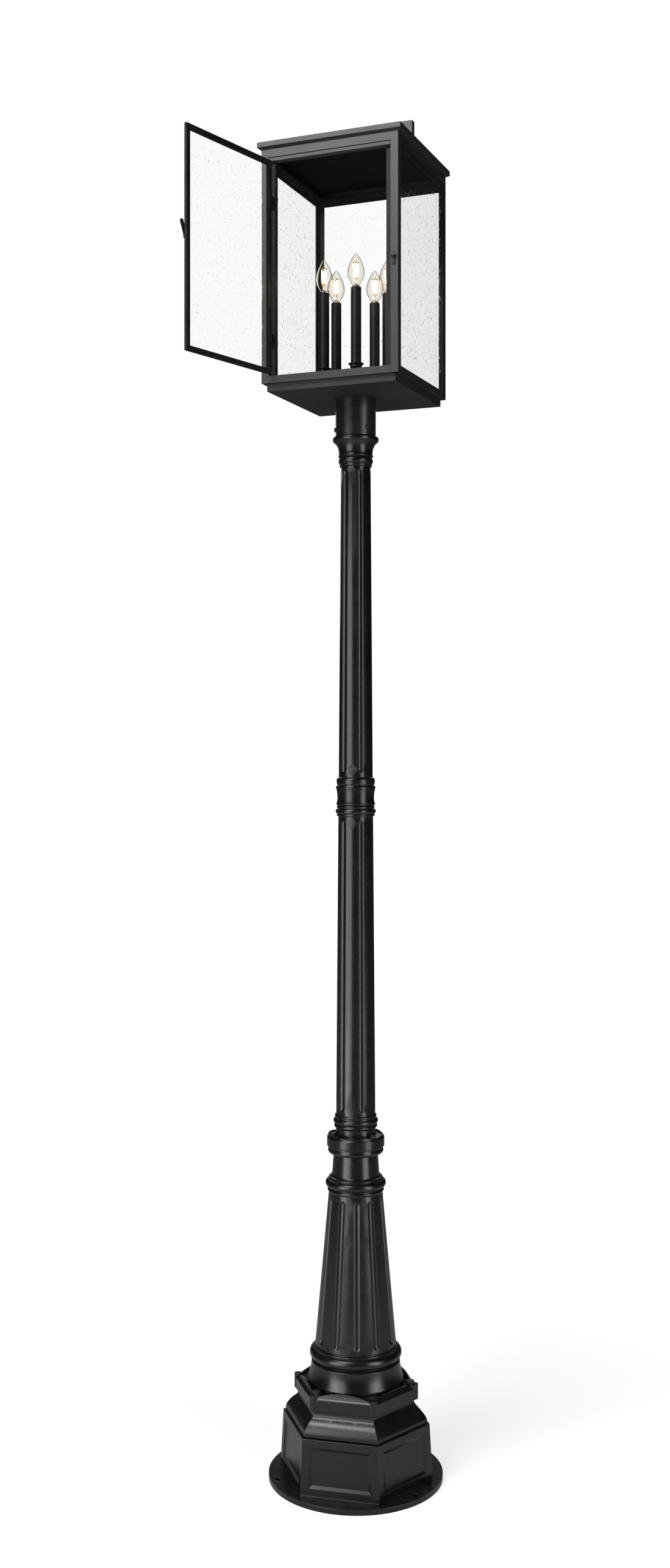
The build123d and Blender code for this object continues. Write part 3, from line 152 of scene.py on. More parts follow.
class StageValues(bpy.types.PropertyGroup):
    """Floor, lamps and camera."""
    focal: FloatProperty(
        name="Focal length", description="Camera's focal length in pixels of the full picture",
        default=2700.0, min=500)
    azimuth: FloatProperty(
        name="View direction", description="Turn of the view from straight in front",
        unit="ROTATION", default=radians(22.2))
    distance: FloatProperty(
        name="Camera distance", description="From the camera to the post's axis",
        unit="LENGTH", default=3.372)
    eye: FloatProperty(
        name="Eye height", description="Height of the level camera", unit="LENGTH", default=1.509)
    aside: FloatProperty(
        name="Aside", description="How far the post stands right of the camera's middle line",
        unit="LENGTH", default=0.0425)
    horizon: FloatProperty(
        name="Horizon row", description="Row of the full picture at which the horizon lies",
        default=1215.0)
    floor: FloatProperty(
        name="Floor width", description="Width of the pale floor", unit="LENGTH", default=80.0)
    ambient: FloatProperty(
        name="Ambient", description="Strength of the even light from all round", default=0.14, min=0)
    dim: FloatProperty(
        name="Dim sides", description="Brightness that gloss sees beside the white backdrop",
        default=0.02, min=0)


# ---------------------------------------------------------------- node helpers
def put(tree, kind, inputs=None, **settings):
    """Adds a node and sets its properties. An input is given a value, or a socket to link from."""
    node = tree.nodes.new(kind)
    for name, value in settings.items():
        setattr(node, name, value)
    for name, value in (inputs or {}).items():
        if isinstance(value, bpy.types.NodeSocket):
            tree.links.new(value, node.inputs[name])
        else:
            node.inputs[name].default_value = value
    return node


def maths(tree, operation, *values, clamp=False):
    """Output of a Math node of these values or sockets."""
    inputs = dict(enumerate(values))
    return put(tree, "ShaderNodeMath", inputs, operation=operation, use_clamp=clamp).outputs[0]


def ramp(tree, value, low, high, to_low=0.0, to_high=1.0):
    """Output of a smooth Map Range node."""
    node = put(tree, "ShaderNodeMapRange", {"Value": value, "From Min": low, "From Max": high,
                                            "To Min": to_low, "To Max": to_high},
               interpolation_type="SMOOTHSTEP")
    return node.outputs[0]


def blend_colour(tree, share, first, second):
    """Output of a colour mix. The colours are sockets or three numbers."""
    node = put(tree, "ShaderNodeMix", data_type="RGBA")
    for at, value in ((0, share), (6, first), (7, second)):
        if isinstance(value, bpy.types.NodeSocket):
            tree.links.new(value, node.inputs[at])
        else:
            node.inputs[at].default_value = value if at == 0 else (*value[:3], 1)
    return node.outputs[2]


def new_group(name, inputs, outputs):
    """Starts a shader group with float inputs and typed outputs. Returns the tree and its two ends."""
    tree = bpy.data.node_groups.new(name, "ShaderNodeTree")
    for label, default in inputs:
        socket = tree.interface.new_socket(label, in_out="INPUT", socket_type="NodeSocketFloat")
        socket.default_value = default
    for label, kind in outputs:
        tree.interface.new_socket(label, in_out="OUTPUT", socket_type=kind)
    return tree, tree.nodes.new("NodeGroupInput"), tree.nodes.new("NodeGroupOutput")


def place_group(tree, name, inputs):
    """Puts a built group in a material with its own values."""
    node = put(tree, "ShaderNodeGroup", node_tree=bpy.data.node_groups[name])
    for label, value in inputs.items():
        node.inputs[label].default_value = value
    return node


def grain_group():
    """Fine bumps and slow mottling of a sprayed coat."""
    tree, start, end = new_group(
        "coat_grain", [("Grain", 0.001), ("Mottle", 0.05)],
        [("Height", "NodeSocketFloat"), ("Tone", "NodeSocketFloat")])
    where = put(tree, "ShaderNodeTexCoord").outputs["Object"]
    fine = put(tree, "ShaderNodeTexNoise", {
        "Vector": where, "Scale": maths(tree, "DIVIDE", 1.0, start.outputs["Grain"]),
        "Detail": 2.5, "Roughness": 0.6}).outputs[0]
    broad = put(tree, "ShaderNodeTexNoise", {
        "Vector": where, "Scale": maths(tree, "DIVIDE", 1.0, start.outputs["Mottle"]),
        "Detail": 4.0, "Roughness": 0.55}).outputs[0]
    tone = maths(tree, "ADD", maths(tree, "MULTIPLY", fine, 0.55), maths(tree, "MULTIPLY", broad, 0.45))
    tree.links.new(fine, end.inputs["Height"])
    tree.links.new(tone, end.inputs["Tone"])


def edge_group():
    """Rounded-over normal of the edges, and a broken mask of where the coat is thin on them, also used for
    painted edge highlights.
    """
    tree, start, end = new_group(
        "worn_and_highlit_edges", [("Radius", 0.001)],
        [("Mask", "NodeSocketFloat"), ("Normal", "NodeSocketVector")])
    soft = put(tree, "ShaderNodeBevel", {"Radius": start.outputs["Radius"]}, samples=6).outputs[0]
    flat = put(tree, "ShaderNodeNewGeometry").outputs["Normal"]
    along = put(tree, "ShaderNodeVectorMath", {0: soft, 1: flat}, operation="DOT_PRODUCT").outputs["Value"]
    turned = ramp(tree, along, 0.995, 0.86)
    where = put(tree, "ShaderNodeTexCoord").outputs["Object"]
    broken = put(tree, "ShaderNodeTexNoise", {"Vector": where, "Scale": 160.0, "Detail": 3.0}).outputs[0]
    mask = maths(tree, "MULTIPLY", turned, ramp(tree, broken, 0.32, 0.62, 0.35, 1.0))
    tree.links.new(mask, end.inputs["Mask"])
    tree.links.new(soft, end.inputs["Normal"])


def dust_group():
    """Mask of the faint dust that settles on level tops, in patches."""
    tree, start, end = new_group("settled_dust", [("Amount", 0.2)], [("Mask", "NodeSocketFloat")])
    up = put(tree, "ShaderNodeSeparateXYZ", {0: put(tree, "ShaderNodeNewGeometry").outputs["Normal"]})
    where = put(tree, "ShaderNodeTexCoord").outputs["Object"]
    patchy = put(tree, "ShaderNodeTexNoise", {"Vector": where, "Scale": 45.0, "Detail": 6.0,
                                              "Roughness": 0.65}).outputs[0]
    lying = maths(tree, "MULTIPLY", ramp(tree, up.outputs[2], 0.55, 1.0), ramp(tree, patchy, 0.35, 0.75))
    tree.links.new(maths(tree, "MULTIPLY", lying, start.outputs["Amount"]), end.inputs["Mask"])


SEED_LAYERS = (
    # cell width in seed cells, height to width, radius in cells, share left out, darkness of the painted
    # shade
    (1.0, 1.5, 0.070, 0.45, 0.70), (0.65, 10.0, 0.052, 0.50, 0.36), (2.6, 2.2, 0.034, 0.35, 0.85),
)


WAVE_LAYERS = (
    # share of the wave length, height to width, depth
    (1.0, 2.4, 1.0), (0.22, 1.8, 0.16),
)


def seed_layer(tree, across, up, cell, layer, drift):
    """Painted dark bodies, standing for the shade at each seed's wall, and raised skins of one size of seed,
    spread over a pane.
    """
    share, stretch, size, drop, dark = layer
    wide = maths(tree, "MULTIPLY", cell, share)
    flat = put(tree, "ShaderNodeCombineXYZ", {
        0: maths(tree, "ADD", maths(tree, "DIVIDE", across, wide), drift),
        1: maths(tree, "DIVIDE", up, maths(tree, "MULTIPLY", wide, stretch))})
    seed = put(tree, "ShaderNodeTexVoronoi", {"Vector": flat.outputs[0], "Scale": 1.0},
               voronoi_dimensions="2D")
    chance = put(tree, "ShaderNodeSeparateColor", {0: seed.outputs["Color"]})
    kept = maths(tree, "GREATER_THAN", chance.outputs[0], drop)
    radius = maths(tree, "MULTIPLY", maths(tree, "POWER", chance.outputs[1], 1.6), size)
    radius = maths(tree, "ADD", radius, size * 0.45)
    near = maths(tree, "DIVIDE", seed.outputs["Distance"], radius)
    body = maths(tree, "MULTIPLY", ramp(tree, near, 1.0, 0.5), kept)
    painted_seed_shade = maths(tree, "MULTIPLY", maths(tree, "ADD", chance.outputs[2], 0.35), dark, clamp=True)
    return maths(tree, "MULTIPLY", body, painted_seed_shade), maths(tree, "MULTIPLY", ramp(tree, near, 1.8, 0.0), kept)


def seed_group():
    """Drawn-out air seeds in the panes: a mask of painted shade for their dark look, and a height of seeds
    and slow waves.
    """
    tree, start, end = new_group(
        "glass_seeds", [("Cell", 0.01), ("Wave", 0.03)],
        [("Mask", "NodeSocketFloat"), ("Seeds", "NodeSocketFloat"), ("Waves", "NodeSocketFloat")])
    where = put(tree, "ShaderNodeSeparateXYZ", {0: put(tree, "ShaderNodeTexCoord").outputs["Object"]})
    side = put(tree, "ShaderNodeSeparateXYZ", {0: put(tree, "ShaderNodeNewGeometry").outputs["True Normal"]})
    across = maths(tree, "ADD", where.outputs[0], where.outputs[1])
    across = maths(tree, "ADD", across, maths(tree, "MULTIPLY", side.outputs[0], 0.37))
    across = maths(tree, "ADD", across, maths(tree, "MULTIPLY", side.outputs[1], 0.53))
    seed_shade_masks, bumps = [], []
    for at, layer in enumerate(SEED_LAYERS):
        mask, bump = seed_layer(tree, across, where.outputs[2], start.outputs["Cell"], layer, 11.3 * at)
        seed_shade_masks.append(mask)
        bumps.append(bump)
    waves = []
    for share, tall, depth in WAVE_LAYERS:
        wave = maths(tree, "MULTIPLY", start.outputs["Wave"], share)
        flat = put(tree, "ShaderNodeCombineXYZ", {
            0: maths(tree, "DIVIDE", across, wave),
            1: maths(tree, "DIVIDE", where.outputs[2], maths(tree, "MULTIPLY", wave, tall))})
        noise = put(tree, "ShaderNodeTexNoise", {"Vector": flat.outputs[0], "Scale": 1.0, "Detail": 1.0},
                    noise_dimensions="2D").outputs[0]
        waves.append(maths(tree, "MULTIPLY", noise, depth))
    mask = maths(tree, "MAXIMUM", maths(tree, "MAXIMUM", seed_shade_masks[0], seed_shade_masks[1]), seed_shade_masks[2])
    bump = maths(tree, "ADD", maths(tree, "ADD", bumps[0], bumps[1]), bumps[2])
    tree.links.new(mask, end.inputs["Mask"])
    tree.links.new(bump, end.inputs["Seeds"])
    tree.links.new(maths(tree, "ADD", *waves), end.inputs["Waves"])


def new_material(name):
    """Node material with only a Principled shader and its output."""
    material = bpy.data.materials.new(name)
    material.use_nodes = True
    tree = material.node_tree
    return material, tree, tree.nodes["Principled BSDF"]


def coat(name, colour, rough, grain, depth, radius, gloss=0.5, edge_wear_and_highlight=0.35, dust=0.06, mottle=0.06,
         underside_shade=0.3):
    """A black coat over metal: grain, edges lightened as worn coat and painted highlight, a trace of dust,
    undersides darkened with painted shade.
    """
    material, tree, shader = new_material(name)
    fine = place_group(tree, "coat_grain", {"Grain": grain, "Mottle": mottle})
    edge = place_group(tree, "worn_and_highlit_edges", {"Radius": radius})
    lying = place_group(tree, "settled_dust", {"Amount": dust})
    dark, light = [c * 0.72 for c in colour], [c * 1.35 for c in colour]
    toned = blend_colour(tree, ramp(tree, fine.outputs["Tone"], 0.34, 0.66), dark, light)
    # edges are lightened: partly coat worn thin, partly a painted highlight along the edge lines
    worn_and_highlit_colour = [c * 1.6 + 0.020 for c in colour]
    toned = blend_colour(tree, maths(tree, "MULTIPLY", edge.outputs["Mask"], edge_wear_and_highlight), toned, worn_and_highlit_colour)
    toned = blend_colour(tree, lying.outputs["Mask"], toned, (0.22, 0.21, 0.20))
    # painted shade: faces that point down get a darker base colour, and are made rougher as well
    way = put(tree, "ShaderNodeSeparateXYZ", {0: put(tree, "ShaderNodeNewGeometry").outputs["Normal"]})
    underside_shade_and_matt = ramp(tree, way.outputs["Z"], -0.95, -0.5, 1.0, 0.0)
    toned = blend_colour(tree, underside_shade_and_matt, toned, [c * underside_shade for c in colour])
    tree.links.new(toned, shader.inputs["Base Color"])
    uneven = ramp(tree, fine.outputs["Tone"], 0.3, 0.7, rough - 0.05, rough + 0.06)
    matt = maths(tree, "ADD", maths(tree, "MULTIPLY", lying.outputs["Mask"], 0.6),
                 maths(tree, "MULTIPLY", underside_shade_and_matt, 0.4))
    uneven = maths(tree, "ADD", uneven, matt, clamp=True)
    tree.links.new(uneven, shader.inputs["Roughness"])
    bump = put(tree, "ShaderNodeBump", {"Height": fine.outputs["Height"], "Normal": edge.outputs["Normal"],
                                        "Strength": 0.8, "Distance": depth})
    tree.links.new(bump.outputs[0], shader.inputs["Normal"])
    shader.inputs["Specular IOR Level"].default_value = gloss
    return material


def dress(names, material):
    """Gives CAD nodes a material in every slot."""
    for name in names:
        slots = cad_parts[name].data.materials
        for i in range(len(slots)):
            slots[i] = material


def shadow_clear(tree, shader):
    """Lets lamp light through a glass shader, so that what is behind it is lit."""
    path = put(tree, "ShaderNodeLightPath")
    clear = put(tree, "ShaderNodeBsdfTransparent")
    mixed = put(tree, "ShaderNodeMixShader", {0: path.outputs["Is Shadow Ray"], 1: shader.outputs[0],
                                              2: clear.outputs[0]})
    tree.links.new(mixed.outputs[0], tree.nodes["Material Output"].inputs["Surface"])


# ---------------------------------------------------------------- mesh helpers
def make_piece(name, mesh, body, material, stands_for=()):
    """Links a finished mesh as a piece that rides on a body."""
    piece = bpy.data.objects.new(name, mesh)
    bpy.context.scene.collection.objects.link(piece)
    mesh.materials.append(material)
    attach(piece, body)
    if stands_for:
        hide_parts(*stands_for)
    return piece


def mesh_of(name, build):
    """Mesh made by a function that fills a bmesh, with shared normals made consistent."""
    bm = bmesh.new()
    build(bm)
    bmesh.ops.recalc_face_normals(bm, faces=bm.faces)
    mesh = bpy.data.meshes.new(name)
    bm.to_mesh(mesh)
    bm.free()
    for face in mesh.polygons:
        face.use_smooth = True
    return mesh


def ring(bm, centre, radius, count, across=None):
    """Ring of vertices round a centre. across gives its two directions."""
    u, v = across or (Vector((1, 0, 0)), Vector((0, 1, 0)))
    return [bm.verts.new(centre + radius * (cos(tau * i / count) * u + sin(tau * i / count) * v))
            for i in range(count)]


def skin(bm, rings, closed=False):
    """Quads between neighbouring rings."""
    pairs = list(zip(rings, rings[1:])) + ([(rings[-1], rings[0])] if closed else [])
    for a, b in pairs:
        for i in range(len(a)):
            j = (i + 1) % len(a)
            bm.faces.new((a[i], a[j], b[j], b[i]))


def cap(bm, loop):
    """Closes a ring with a fan to its middle."""
    middle = bm.verts.new(sum((v.co for v in loop), Vector()) / len(loop))
    for i in range(len(loop)):
        bm.faces.new((loop[i], loop[(i + 1) % len(loop)], middle))


def smooth_line(points, steps):
    """Points of a Catmull-Rom curve through the given ones."""
    ends = [points[0] * 2 - points[1], *points, points[-1] * 2 - points[-2]]
    line = []
    for a, b, c, d in zip(ends, ends[1:], ends[2:], ends[3:]):
        for i in range(steps):
            t = i / steps
            line.append(0.5 * (2 * b + (c - a) * t + (2 * a - 5 * b + 4 * c - d) * t * t
                               + (3 * b - a - 3 * c + d) * t ** 3))
    return line + [points[-1]]


def tube_along(bm, points, radius, count=10):
    """Closed tube along a line of points, with its rings square to the line."""
    rings, side = [], Vector((0.31, 0.95, 0.02))
    for i, point in enumerate(points):
        along = (points[min(i + 1, len(points) - 1)] - points[max(i - 1, 0)]).normalized()
        side = (side - along * side.dot(along)).normalized()
        rings.append(ring(bm, point, radius, count, (side, along.cross(side))))
    skin(bm, rings)
    cap(bm, rings[0])
    cap(bm, rings[-1])


def lathe(bm, profile, centre, count):
    """Closed surface of revolution about the vertical through a centre. Profile radii are above zero."""
    skin(bm, [ring(bm, centre + Vector((0, 0, z)), r, count) for r, z in profile], closed=True)


# ---------------------------------------------------------------- bulbs
# outlines as radius and height in millimetres, from the collar up
BULB_OUTLINE = (
    (7.6, 0), (7.9, 1.6), (10.2, 6.2), (14.2, 13), (16.8, 20.5), (17.25, 26), (16.5, 33.5),
    (14.3, 42), (11.0, 50), (7.2, 57.2), (3.9, 62.4), (1.7, 65.1), (0.15, 66),
)
MOUNT_OUTLINE = ((6.4, 0.1), (4.6, 1.6), (3.0, 4.2), (2.3, 8), (2.2, 11.5), (1.5, 14.2), (0.3, 15))


def candle_places():
    """Foot of each bulb: where its glass leaves the collar."""
    turns = [NEAREST_CANDLE + tau * k / CANDLES for k in range(CANDLES)]
    return [Vector((CANDLE_CIRCLE * cos(turn), CANDLE_CIRCLE * sin(turn), GLASS_LOW.z)) for turn in turns]


def bulb_profile(height):
    """Outside line of a candle bulb from collar to tip, as radius and height."""
    scale = height / BULB_OUTLINE[-1][1]
    return smooth_line([Vector((r * MM, z * scale)) for r, z in BULB_OUTLINE], 4)


def bulb_envelopes(bm, wall):
    """Thin-walled clear bulbs, open at the collar."""
    height = GLASS_HIGH.z - GLASS_LOW.z
    outer = bulb_profile(height)
    inner = [Vector((max(p.x - wall, 0.05 * MM), p.y - wall * (p.y / height) ** 3)) for p in outer]
    for foot in candle_places():
        lathe(bm, [(p.x, p.y) for p in outer] + [(p.x, p.y) for p in reversed(inner)], foot, 56)


def bulb_mounts(bm):
    """Glass mounts inside the bulbs: a flare that narrows to a pinched tip."""
    profile = smooth_line([Vector((r * MM, z * MM)) for r, z in MOUNT_OUTLINE], 4)
    for foot in candle_places():
        rings = [ring(bm, foot + Vector((0, 0, p.y)), p.x, 28) for p in profile]
        for loop in rings:
            squeeze = min(1.0, max(0.0, (loop[0].co.z - foot.z - 7 * MM) / (6 * MM)))
            for v in loop:
                v.co.y = foot.y + (v.co.y - foot.y) * (1 - 0.55 * squeeze)
        skin(bm, rings)
        cap(bm, rings[0])
        cap(bm, rings[-1])


def filament_ends(foot, k, values):
    """Lower and upper end of one filament, leaning out a little at the top."""
    turn = tau * k / FILAMENTS + radians(30)
    out = Vector((cos(turn), sin(turn), 0))
    low = foot + out * values.circle * 0.8
    high = foot + out * values.circle * 1.1
    low.z, high.z = WIRE_LOW.z + 1.5 * MM, WIRE_HIGH.z - 1.0 * MM
    return low, high


def filament_rods(bm, values):
    """Lit sticks with rounded ends."""
    for foot in candle_places():
        for k in range(FILAMENTS):
            low, high = filament_ends(foot, k, values)
            steps = 12
            rings = []
            way = (high - low).normalized()
            side = way.orthogonal().normalized()
            for i in range(steps + 1):
                t = i / steps
                swell = (1 - (2 * t - 1) ** 8) ** 0.5 * 0.55 + 0.45
                rings.append(ring(bm, low.lerp(high, t), values.rod * swell, 12, (side, way.cross(side))))
            skin(bm, rings)
            cap(bm, rings[0])
            cap(bm, rings[-1])


def filament_clips(bm, values):
    """Short gilt sleeves that grip both ends of every filament."""
    for foot in candle_places():
        for k in range(FILAMENTS):
            low, high = filament_ends(foot, k, values)
            way = (high - low).normalized()
            for end, sign in ((low, -1), (high, 1)):
                a, b = end - way * sign * 1.2 * MM, end + way * sign * 2.2 * MM
                tube_along(bm, [a, a.lerp(b, 0.5), b], values.rod * 1.15, 6)


def lead_wires(bm, values):
    """Wires from the mounts to the filaments' feet, and hoops that join their heads in pairs."""
    for foot in candle_places():
        top = foot + Vector((0, 0, 14.6 * MM))
        for k in range(FILAMENTS):
            low, high = filament_ends(foot, k, values)
            way = (high - low).normalized()
            end = low - way * 2 * MM
            line = [top - Vector((0, 0, 5 * MM)), top, top.lerp(end, 0.5) + Vector((0, 0, 0.4 * MM)), end]
            tube_along(bm, smooth_line(line, 5), values.wire, 8)
        for k in (0, 2):
            one = filament_ends(foot, k, values)[1] + Vector((0, 0, 2 * MM))
            two = filament_ends(foot, k + 1, values)[1] + Vector((0, 0, 2 * MM))
            arch = (one + two) / 2 + Vector((0, 0, 1.7 * MM))
            tube_along(bm, smooth_line([one, arch, two], 6), values.wire, 8)


# ---------------------------------------------------------------- operators
class FinishOperator:
    """Shared settings of the operators below."""
    bl_options = {"REGISTER"}


class LANTERN_OT_build_groups(FinishOperator, bpy.types.Operator):
    """Build the shared effects: grain, worn edges with painted highlight, settled dust and glass seeds"""
    bl_idname = "lantern.build_groups"
    bl_label = "Shared effects"

    def execute(self, context):
        grain_group()
        edge_group()
        dust_group()
        seed_group()
        return {"FINISHED"}


class LANTERN_OT_coat_castings(FinishOperator, bpy.types.Operator):
    """Paint the post's castings and their bolts"""
    bl_idname = "lantern.coat_castings"
    bl_label = "Post castings"

    def execute(self, context):
        values = context.scene.lantern_coats
        paint = coat("satin_casting_paint", values.cast_colour, 0.25, values.cast_grain, 0.022 * MM,
                     values.edge_radius * 1.6, gloss=0.55, edge_wear_and_highlight=0.5)
        bolt = coat("satin_bolt_paint", values.small_colour, 0.38, values.sheet_grain, 0.03 * MM,
                    values.edge_radius * 0.6, edge_wear_and_highlight=0.7)
        dress(CASTINGS, paint)
        dress(BOLTS, bolt)
        return {"FINISHED"}


class LANTERN_OT_coat_sheets(FinishOperator, bpy.types.Operator):
    """Coat the lantern's folded sheets, hinges, latch and screws"""
    bl_idname = "lantern.coat_sheets"
    bl_label = "Lantern sheets"

    def execute(self, context):
        values = context.scene.lantern_coats
        dress(SHEETS, coat("fine_texture_powder_coat", values.sheet_colour, 0.38, values.sheet_grain,
                           0.28 * MM, values.edge_radius * 0.7, gloss=0.62, edge_wear_and_highlight=0.45, dust=0.04))
        # painted shade: the same powder coat, darker and less glossy on these parts
        dress(SHADE_PAINTED_PARTS, coat("painted_shade_powder_coat", values.small_colour, 0.46, values.sheet_grain,
                           0.20 * MM, values.edge_radius * 0.5, gloss=0.25, edge_wear_and_highlight=0.5, dust=0.02))
        dress(TURNED, coat("satin_turned_coat", values.small_colour, 0.26, values.sheet_grain,
                           0.012 * MM, values.edge_radius * 0.7, gloss=0.7, edge_wear_and_highlight=0.4, dust=0.03))
        # painted shade: the floor plate and ceiling get a darker, almost glossless copy of the coat
        dress(UNDERSIDES, coat("painted_shade_underside_coat", [c * 2 for c in values.cast_colour], 0.70,
                               values.sheet_grain, 0.10 * MM, values.edge_radius * 0.7, gloss=0.03,
                               edge_wear_and_highlight=0.3, dust=0.05, underside_shade=1.0))
        dress(PAN, coat("pan_powder_coat", values.sheet_colour, 0.38, values.sheet_grain,
                        0.28 * MM, values.edge_radius * 0.7, gloss=0.40, edge_wear_and_highlight=0.45, dust=0.03, underside_shade=0.4))
        # painted shade: the door's frame and bead get a darker copy of the powder coat, with strong painted
        # edge highlights
        dress(DOOR_METAL, coat("painted_shade_door_coat", values.small_colour, 0.40, values.sheet_grain,
                               0.16 * MM, values.edge_radius * 0.6, gloss=0.45, edge_wear_and_highlight=0.9, dust=0.03))
        dress(HINGES, coat("hinge_powder_coat", values.small_colour, 0.45, values.sheet_grain,
                           0.08 * MM, values.edge_radius * 0.35, edge_wear_and_highlight=0.8, dust=0.02))
        dress(SCREWS, coat("screw_black_oxide", values.small_colour, 0.36, values.sheet_grain,
                           0.03 * MM, values.edge_radius * 0.25, edge_wear_and_highlight=0.9, dust=0.02))
        return {"FINISHED"}


class LANTERN_OT_coat_candles(FinishOperator, bpy.types.Operator):
    """Coat the candle tubes, cups, hub and arms, and finish the lamp holders and plated caps"""
    bl_idname = "lantern.coat_candles"
    bl_label = "Candle cluster"

    def execute(self, context):
        values = context.scene.lantern_coats
        dress(CANDLE_METAL, coat("smooth_candle_coat", values.candle_colour, 0.34, values.cast_grain,
                                 0.02 * MM, values.edge_radius * 0.5, edge_wear_and_highlight=0.6, dust=0.03))
        dress(HOLDERS, coat("moulded_holder", (0.028, 0.026, 0.025), 0.55, values.sheet_grain,
                            0.02 * MM, values.edge_radius * 0.4, edge_wear_and_highlight=0.2, dust=0.0))
        material, tree, shader = new_material("bright_nickel")
        fine = place_group(tree, "coat_grain", {"Grain": 0.7 * MM, "Mottle": 12 * MM})
        tone = ramp(tree, fine.outputs["Tone"], 0.35, 0.65)
        tree.links.new(blend_colour(tree, tone, (0.60, 0.56, 0.50), (0.80, 0.77, 0.72)),
                       shader.inputs["Base Color"])
        tree.links.new(ramp(tree, fine.outputs["Tone"], 0.3, 0.7, 0.16, 0.34), shader.inputs["Roughness"])
        shader.inputs["Metallic"].default_value = 1.0
        dress(PLATED, material)
        return {"FINISHED"}


class LANTERN_OT_glaze(FinishOperator, bpy.types.Operator):
    """Glaze the sides and the door with seedy glass"""
    bl_idname = "lantern.glaze"
    bl_label = "Seedy panes"

    def execute(self, context):
        values = context.scene.lantern_glass
        material, tree, shader = new_material("clear_seedy_glass")
        seeds = place_group(tree, "glass_seeds", {"Cell": values.seed_cell, "Wave": values.wave})
        # painted shade: the seeds darken the pane's colour where each bubble sits
        tree.links.new(blend_colour(tree, seeds.outputs["Mask"], values.tint, (0.02, 0.022, 0.022)),
                       shader.inputs["Base Color"])
        slow = put(tree, "ShaderNodeBump", {"Height": seeds.outputs["Waves"], "Strength": 1.0,
                                            "Distance": 0.06 * MM})
        quick = put(tree, "ShaderNodeBump", {"Height": seeds.outputs["Seeds"], "Strength": 1.0,
                                             "Distance": 0.20 * MM, "Normal": slow.outputs[0]})
        tree.links.new(quick.outputs[0], shader.inputs["Normal"])
        shader.inputs["Roughness"].default_value = 0.0
        shader.inputs["IOR"].default_value = 1.15
        shader.inputs["Specular IOR Level"].default_value = 0.1
        shader.inputs["Transmission Weight"].default_value = 1.0
        shadow_clear(tree, shader)
        dress(PANES, material)
        return {"FINISHED"}


class LANTERN_OT_make_bulbs(FinishOperator, bpy.types.Operator):
    """Make the bulbs: thin glass, mounts, lead wires, clips and lit filaments"""
    bl_idname = "lantern.make_bulbs"
    bl_label = "Candle bulbs"

    def execute(self, context):
        values = context.scene.lantern_bulbs
        glass, tree, shader = new_material("bulb_glass_clear")
        shade = place_group(tree, "coat_grain", {"Grain": 9 * MM, "Mottle": 30 * MM})
        tree.links.new(blend_colour(tree, shade.outputs["Tone"], (1.0, 0.985, 0.96), (1.0, 0.955, 0.89)),
                       shader.inputs["Base Color"])
        shader.inputs["Roughness"].default_value = 0.0
        shader.inputs["IOR"].default_value = 1.48
        shader.inputs["Transmission Weight"].default_value = 1.0
        shadow_clear(tree, shader)
        lit, tree, shader = new_material("lit_phosphor")
        shade = place_group(tree, "coat_grain", {"Grain": 0.9 * MM, "Mottle": 6 * MM})
        glow = blend_colour(tree, ramp(tree, shade.outputs["Tone"], 0.3, 0.7),
                            [c * 0.88 for c in values.glow], values.glow)
        tree.links.new(glow, shader.inputs["Emission Color"])
        tree.links.new(glow, shader.inputs["Base Color"])
        shader.inputs["Emission Strength"].default_value = values.strength
        wire, tree, shader = new_material("gilt_wire")
        shade = place_group(tree, "coat_grain", {"Grain": 0.5 * MM, "Mottle": 5 * MM})
        tree.links.new(blend_colour(tree, shade.outputs["Tone"], (0.70, 0.42, 0.16), (0.90, 0.62, 0.28)),
                       shader.inputs["Base Color"])
        tree.links.new(ramp(tree, shade.outputs["Tone"], 0.3, 0.7, 0.2, 0.4), shader.inputs["Roughness"])
        shader.inputs["Metallic"].default_value = 1.0
        make_piece("bulb_envelopes", mesh_of("bulb_envelopes", lambda bm: bulb_envelopes(bm, values.wall)),
                   "lantern", glass, ["bulb_glasses"])
        make_piece("bulb_mounts", mesh_of("bulb_mounts", bulb_mounts), "lantern", glass,
                   ["bulb_stems"])
        make_piece("filament_rods", mesh_of("filament_rods", lambda bm: filament_rods(bm, values)),
                   "lantern", lit, ["bulb_filaments"])
        make_piece("filament_clips", mesh_of("filament_clips", lambda bm: filament_clips(bm, values)),
                   "lantern", wire)
        make_piece("lead_wires", mesh_of("lead_wires", lambda bm: lead_wires(bm, values)), "lantern", wire)
        return {"FINISHED"}


SOFTBOXES = (
    # name, degrees to the right of the camera, distance, height, width and height of the box, radiance
    ("left_softbox", -44, 2.3, 1.3, (1.4, 2.2), 3.4),
    ("right_softbox", 47, 2.3, 1.45, (1.0, 2.4), 3.2),
    ("back_left_softbox", -163, 2.3, 2.9, (1.0, 2.0), 1.6),
    ("back_right_softbox", 166, 2.3, 2.9, (1.0, 2.0), 1.4),
    ("high_softbox", -45, 2.4, 4.05, (1.8, 1.2), 9.0),
    ("low_left_softbox", -52, 1.0, 0.42, (0.4, 0.76), 2.0),
    ("low_right_softbox", 52, 1.0, 0.42, (0.35, 0.76), 1.6),
)
HIGHEST_AIM = 2.4               # no lamp aims above this height
FLOOR_GLOW = (0.3, 2.6, 0.58, 0.93)   # near and far distance from the post, glow at each
FLOOR_MIRRORED = 0.05           # share of the floor's glow that gloss sees
WHITE_BEHIND = (0.955, 0.995)   # cosines off straight behind, between which gloss goes dim to white


